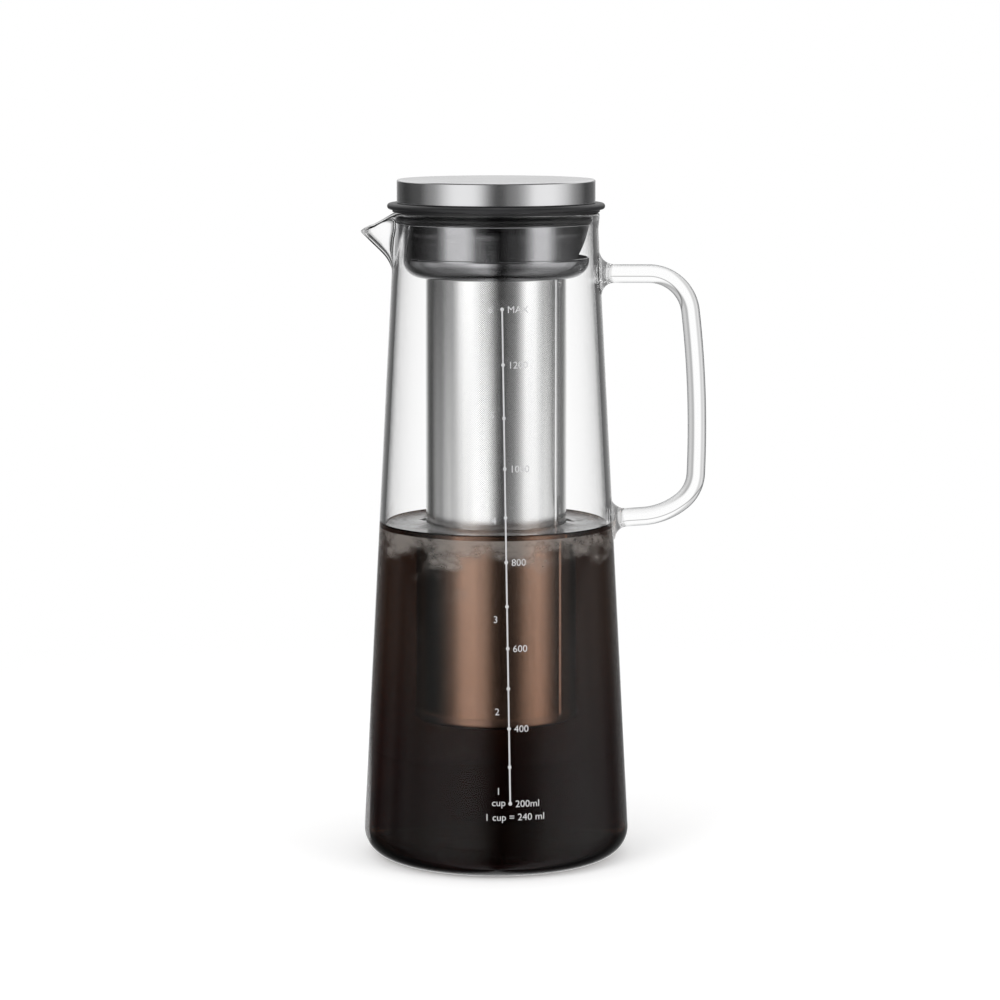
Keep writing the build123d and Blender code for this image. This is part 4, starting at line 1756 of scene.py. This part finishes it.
@dataclass(frozen=True)
class Room:
    """A white room with tall soft boxes and dark flags.

    Each ring gives the brightness by compass angle, 0 behind the camera and 90 on its right. Heights are
    the upward part of the ray's direction. What a ray meets depends on the clear faces it came through.
    """

    # for gloss outside the glass
    gloss_ring: tuple[Stop, ...] = (
        *((-180, 1.0), (-174, 1.0), (-164, 0.3), (-152, 0.12), (-128, 0.03), (-108, 0.08), (-98, 0.06)),
        *((-86, 0.24), (-74, 0.33), (-60, 0.78), (-50, 1.0), (-25, 1.0), (-18, 0.76), (-6, 0.14), (1, 0.05)),
        *((6, 0.05), (14, 0.20), (24, 0.26), (34, 0.52), (45, 1.0), (70, 1.0), (80, 0.82), (88, 0.68)),
        *((100, 0.34), (116, 0.15), (126, 0.05), (152, 0.14), (164, 0.3), (174, 1.0), (180, 1.0)),
    )
    # for gloss inside the glass, in shares of inner_level: high up, where its boxes are narrow
    high_ring: tuple[Stop, ...] = (
        *((-165, 0.8), (-146, 0.12), (-118, 0.0), (-88, 0.03), (-76, 0.08), (-67, 0.42), (-59, 1.0)),
        *((-38, 1.0), (-31, 0.7), (-24, 0.12), (-15, 0.02), (-8, 0.0), (5, 0.0), (12, 0.03), (26, 0.04)),
        *((34, 0.1), (42, 0.52), (49, 1.0), (63, 1.0), (70, 0.6), (79, 0.14), (90, 0.05), (125, 0.02)),
        *((148, 0.24), (165, 0.8)),
    )
    # low down, where they are wide
    low_ring: tuple[Stop, ...] = (
        *((-160, 0.6), (-145, 0.12), (-130, 0.02), (-111, 0.30), (-102, 0.20), (-86, 0.50), (-70, 0.42)),
        *((-60, 0.52), (-50, 0.65), (-36, 0.78), (-26, 1.10), (-14, 1.05), (-6, 0.60), (4, 0.06), (12, 0.04)),
        *((20, 0.18), (28, 0.20), (38, 0.38), (50, 0.72), (74, 0.80), (82, 0.68), (92, 0.70), (98, 0.5)),
        *((107, 0.5), (122, 0.16), (140, 0.1), (160, 0.6)),
    )
    # and low down through the coffee
    deep_ring: tuple[Stop, ...] = (
        *((-165, 0.30), (-133, 0.0), (-100, 0.0), (-84, 0.08), (-70, 0.24), (-60, 0.52), (-50, 0.84)),
        *((-32, 0.84), (-22, 0.72), (-13, 0.45), (-4, 0.10), (10, 0.04), (20, 0.06), (32, 0.10), (42, 0.32)),
        *((53, 0.62), (66, 0.80), (76, 0.74), (88, 0.34), (104, 0.04), (125, 0.05), (150, 0.05), (165, 0.30)),
    )
    # for what shows straight through clear glass
    glass_ring: tuple[Stop, ...] = (
        *((-180, 1.0), (-169, 1.0), (-162, 0.66), (-154, 0.66), (-149, 0.82), (-140, 0.55), (-120, 0.5)),
        *((-104, 0.9), (-95, 1.0), (95, 1.0), (106, 0.85), (124, 0.6), (150, 0.62), (157, 0.48), (163, 0.46)),
        *((168, 0.92), (171, 1.0), (180, 1.0)),
    )
    # brightness
    inner_level: float = 1.3
    low_level: float = 0.45
    ceiling: float = 0.85
    inner_ceiling: float = 0.8
    gap: float = 0.05
    haze: float = 0.5
    rail: float = 0.5
    matt_level: float = 0.78
    board_dark: float = 0.08
    board_bright: float = 0.23
    brew_veil: float = 0.96
    # heights over which a part of the room comes in or goes out
    ceiling_in: Span = (0.08, 0.24)
    gap_in: Span = (0.10, 0.22)
    gap_out: Span = (0.72, 0.92)
    haze_in: Span = (-0.01, 0.02)
    haze_out: Span = (0.05, 0.14)
    inner_ceiling_in: Span = (0.08, 0.40)
    high_ring_in: Span = (-0.088, -0.075)
    low_level_out: Span = (-0.55, -0.18)
    rail_in: Span = (0.07, 0.11)
    rail_out: Span = (0.13, 0.17)
    # the same for the backward part of the direction
    gap_back: Span = (-0.2, 0.3)
    haze_back: Span = (0.8, 0.95)
    # shares of a turn from the front, and shares of the way between two boards
    veil_in: Span = (0.36, 0.42)
    boards: int = 8
    board_edge: Span = (0.10, 0.24)

    def outside_gloss(self, view: Direction) -> Wire:
        """The ring, a ceiling with a dark gap at the front, and a grey haze low at the back.

        Args:
            view: the direction of the ray.

        Returns:
            The brightness's wire.
        """
        sheet, y, z = view.sheet, view.y, view.z
        in_gap = z.step(*self.gap_in) * (1 - z.step(*self.gap_out)) * (1 - y.step(*self.gap_back))
        above = sheet.mixed(in_gap, grey(self.ceiling), grey(self.gap))
        gloss = sheet.mixed(z.step(*self.ceiling_in), view.ring(self.gloss_ring), above)
        in_haze = y.step(*self.haze_back) * z.step(*self.haze_in) * (1 - z.step(*self.haze_out))
        return sheet.mixed(in_haze, gloss, grey(self.haze))

    def inside_gloss(self, view: Direction) -> Wire:
        """The glass's own gloss has the outer ring; what is inside has the inner ones, darker downwards.

        Args:
            view: the direction of the ray.

        Returns:
            The brightness's wire.
        """
        sheet, z = view.sheet, view.z
        faces = sheet.ray("Transmission Depth")
        low = sheet.mixed(faces > DEEP, view.ring(self.low_ring), view.ring(self.deep_ring))
        inner = sheet.mixed(z.step(*self.high_ring_in), low, view.ring(self.high_ring))
        level = z.step(*self.low_level_out, self.low_level, 1.0) * self.inner_level
        inner = sheet.mixed(1.0, inner, sheet.joined(level, level, level), "MULTIPLY")
        ring = sheet.mixed(faces < INNER, inner, view.ring(self.gloss_ring))
        return sheet.mixed(z.step(*self.inner_ceiling_in), ring, grey(self.inner_ceiling))

    def gloss(self, view: Direction) -> Wire:
        """The inside's or the outside's gloss, with the back of the room veiled through the coffee.

        Args:
            view: the direction of the ray.

        Returns:
            The brightness's wire.
        """
        sheet = view.sheet
        faces = sheet.ray("Transmission Depth")
        gloss = sheet.mixed(faces < BENT, self.inside_gloss(view), self.outside_gloss(view))
        at_back = abs(view.compass - 0.5).step(*self.veil_in, 0.0, self.brew_veil)
        return sheet.mixed(1 - (faces > DEEP) * at_back, BLACK, gloss)

    def through_glass(self, view: Direction) -> Wire:
        """The glass ring, dimmed by a grey rail above the horizon."""
        rail = view.z.step(*self.rail_in, 1.0, self.rail).most(view.z.step(*self.rail_out))
        return view.sheet.mixed(rail, BLACK, view.ring(self.glass_ring))

    def through_brew(self, view: Direction) -> Wire:
        """Bright boards evenly round the circle, and dark ones between them."""
        off = abs((view.compass * self.boards + 0.5).math("FRACT") - 0.5)
        return view.sheet.mixed(off.step(*self.board_edge, self.board_bright, self.board_dark), BLACK, WHITE)

    def build(self) -> None:
        """The world: white to the camera, and another room for each way to see it."""
        world = bpy.data.worlds.new("room")
        bpy.context.scene.world = world
        world.use_nodes = True
        world.cycles.sampling_method = "NONE"  # as the room differs by the kind of ray, it is no lamp
        sheet = NodeSheet(world.node_tree)
        view = Direction(sheet)
        faces = sheet.ray("Transmission Depth")
        shade = sheet.mixed(faces > BENT, WHITE, self.through_glass(view))
        shade = sheet.mixed(faces > DEEP, shade, self.through_brew(view))
        shade = sheet.mixed(sheet.ray("Glossy Depth") > 0.5, shade, self.gloss(view))
        shade = sheet.mixed(sheet.ray("Diffuse Depth") > 0.5, shade, grey(self.matt_level))
        light = sheet.add("ShaderNodeBackground", None, {"Color": shade, "Strength": 1.0})
        sheet.add("ShaderNodeOutputWorld", None, {"Surface": light})


@dataclass(frozen=True)
class Lamp:
    """A soft square lamp that faces the object, in metres and watts."""

    name: str
    place: Point
    power: float
    size: float = 0.9
    aim_z: float = 0.13

    def build(self) -> None:
        """The lamp lights matt faces only: neither camera, gloss nor glass shows it."""
        data = bpy.data.lights.new(self.name, "AREA")
        data.size, data.energy = self.size, self.power
        lamp = linked_object(self.name, data)
        lamp.location = self.place
        away = lamp.location.copy()
        away.z -= self.aim_z
        lamp.rotation_euler = away.to_track_quat("Z", "Y").to_euler()
        lamp.visible_camera = lamp.visible_glossy = lamp.visible_transmission = False


@dataclass
class Studio:
    """The room, two lamps, a small pale floor, and a long lens a little above the lid's height."""

    lens: float = 126.59
    sensor: float = 36.0
    camera_place: Point = (0.0015, -1.362, 0.3197)
    camera_pitch: float = 82.483
    floor_radius: float = 800.0
    lamps: tuple[Lamp, ...] = (
        Lamp("key_lamp", (-1.1, -1.3, 1.3), 9.0),
        Lamp("fill_lamp", (1.3, -0.9, 0.9), 5.0),
    )

    def floor(self) -> None:
        """A pale disc that fades out before its edge."""
        radius = np.linspace(0, self.floor_radius, 40)
        disc = mesh_object("floor", turned(np.column_stack([radius, 0 * radius]), 96), FloorPaint())
        disc.visible_glossy = False

    def camera(self) -> None:
        """The camera, which looks slightly down."""
        data = bpy.data.cameras.new("camera")
        data.lens, data.sensor_width = self.lens, self.sensor
        data.clip_start, data.clip_end = 0.05, 50
        camera = linked_object("camera", data)
        camera.location = self.camera_place
        camera.rotation_euler = (radians(self.camera_pitch), 0, 0)
        bpy.context.scene.camera = camera

    def build(self) -> None:
        """Room, floor, lamps and camera."""
        Room().build()
        self.floor()
        for lamp in self.lamps:
            lamp.build()
        self.camera()
        bpy.context.scene.view_settings.view_transform = "Standard"


def write_sizes() -> None:
    """Updates the view layer."""
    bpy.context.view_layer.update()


def main() -> None:
    """Builds the sub-assemblies in order, then the studio."""
    logging.basicConfig(level=logging.INFO, format="%(name)s %(message)s")
    for part in (Carafe(), RodHandle(), PrintedScale(), Brew(), MouthSeal(), Lid(), BrewFilter()):
        part.build()
    Studio().build()
    write_sizes()


if __name__ == "__main__":
    main()
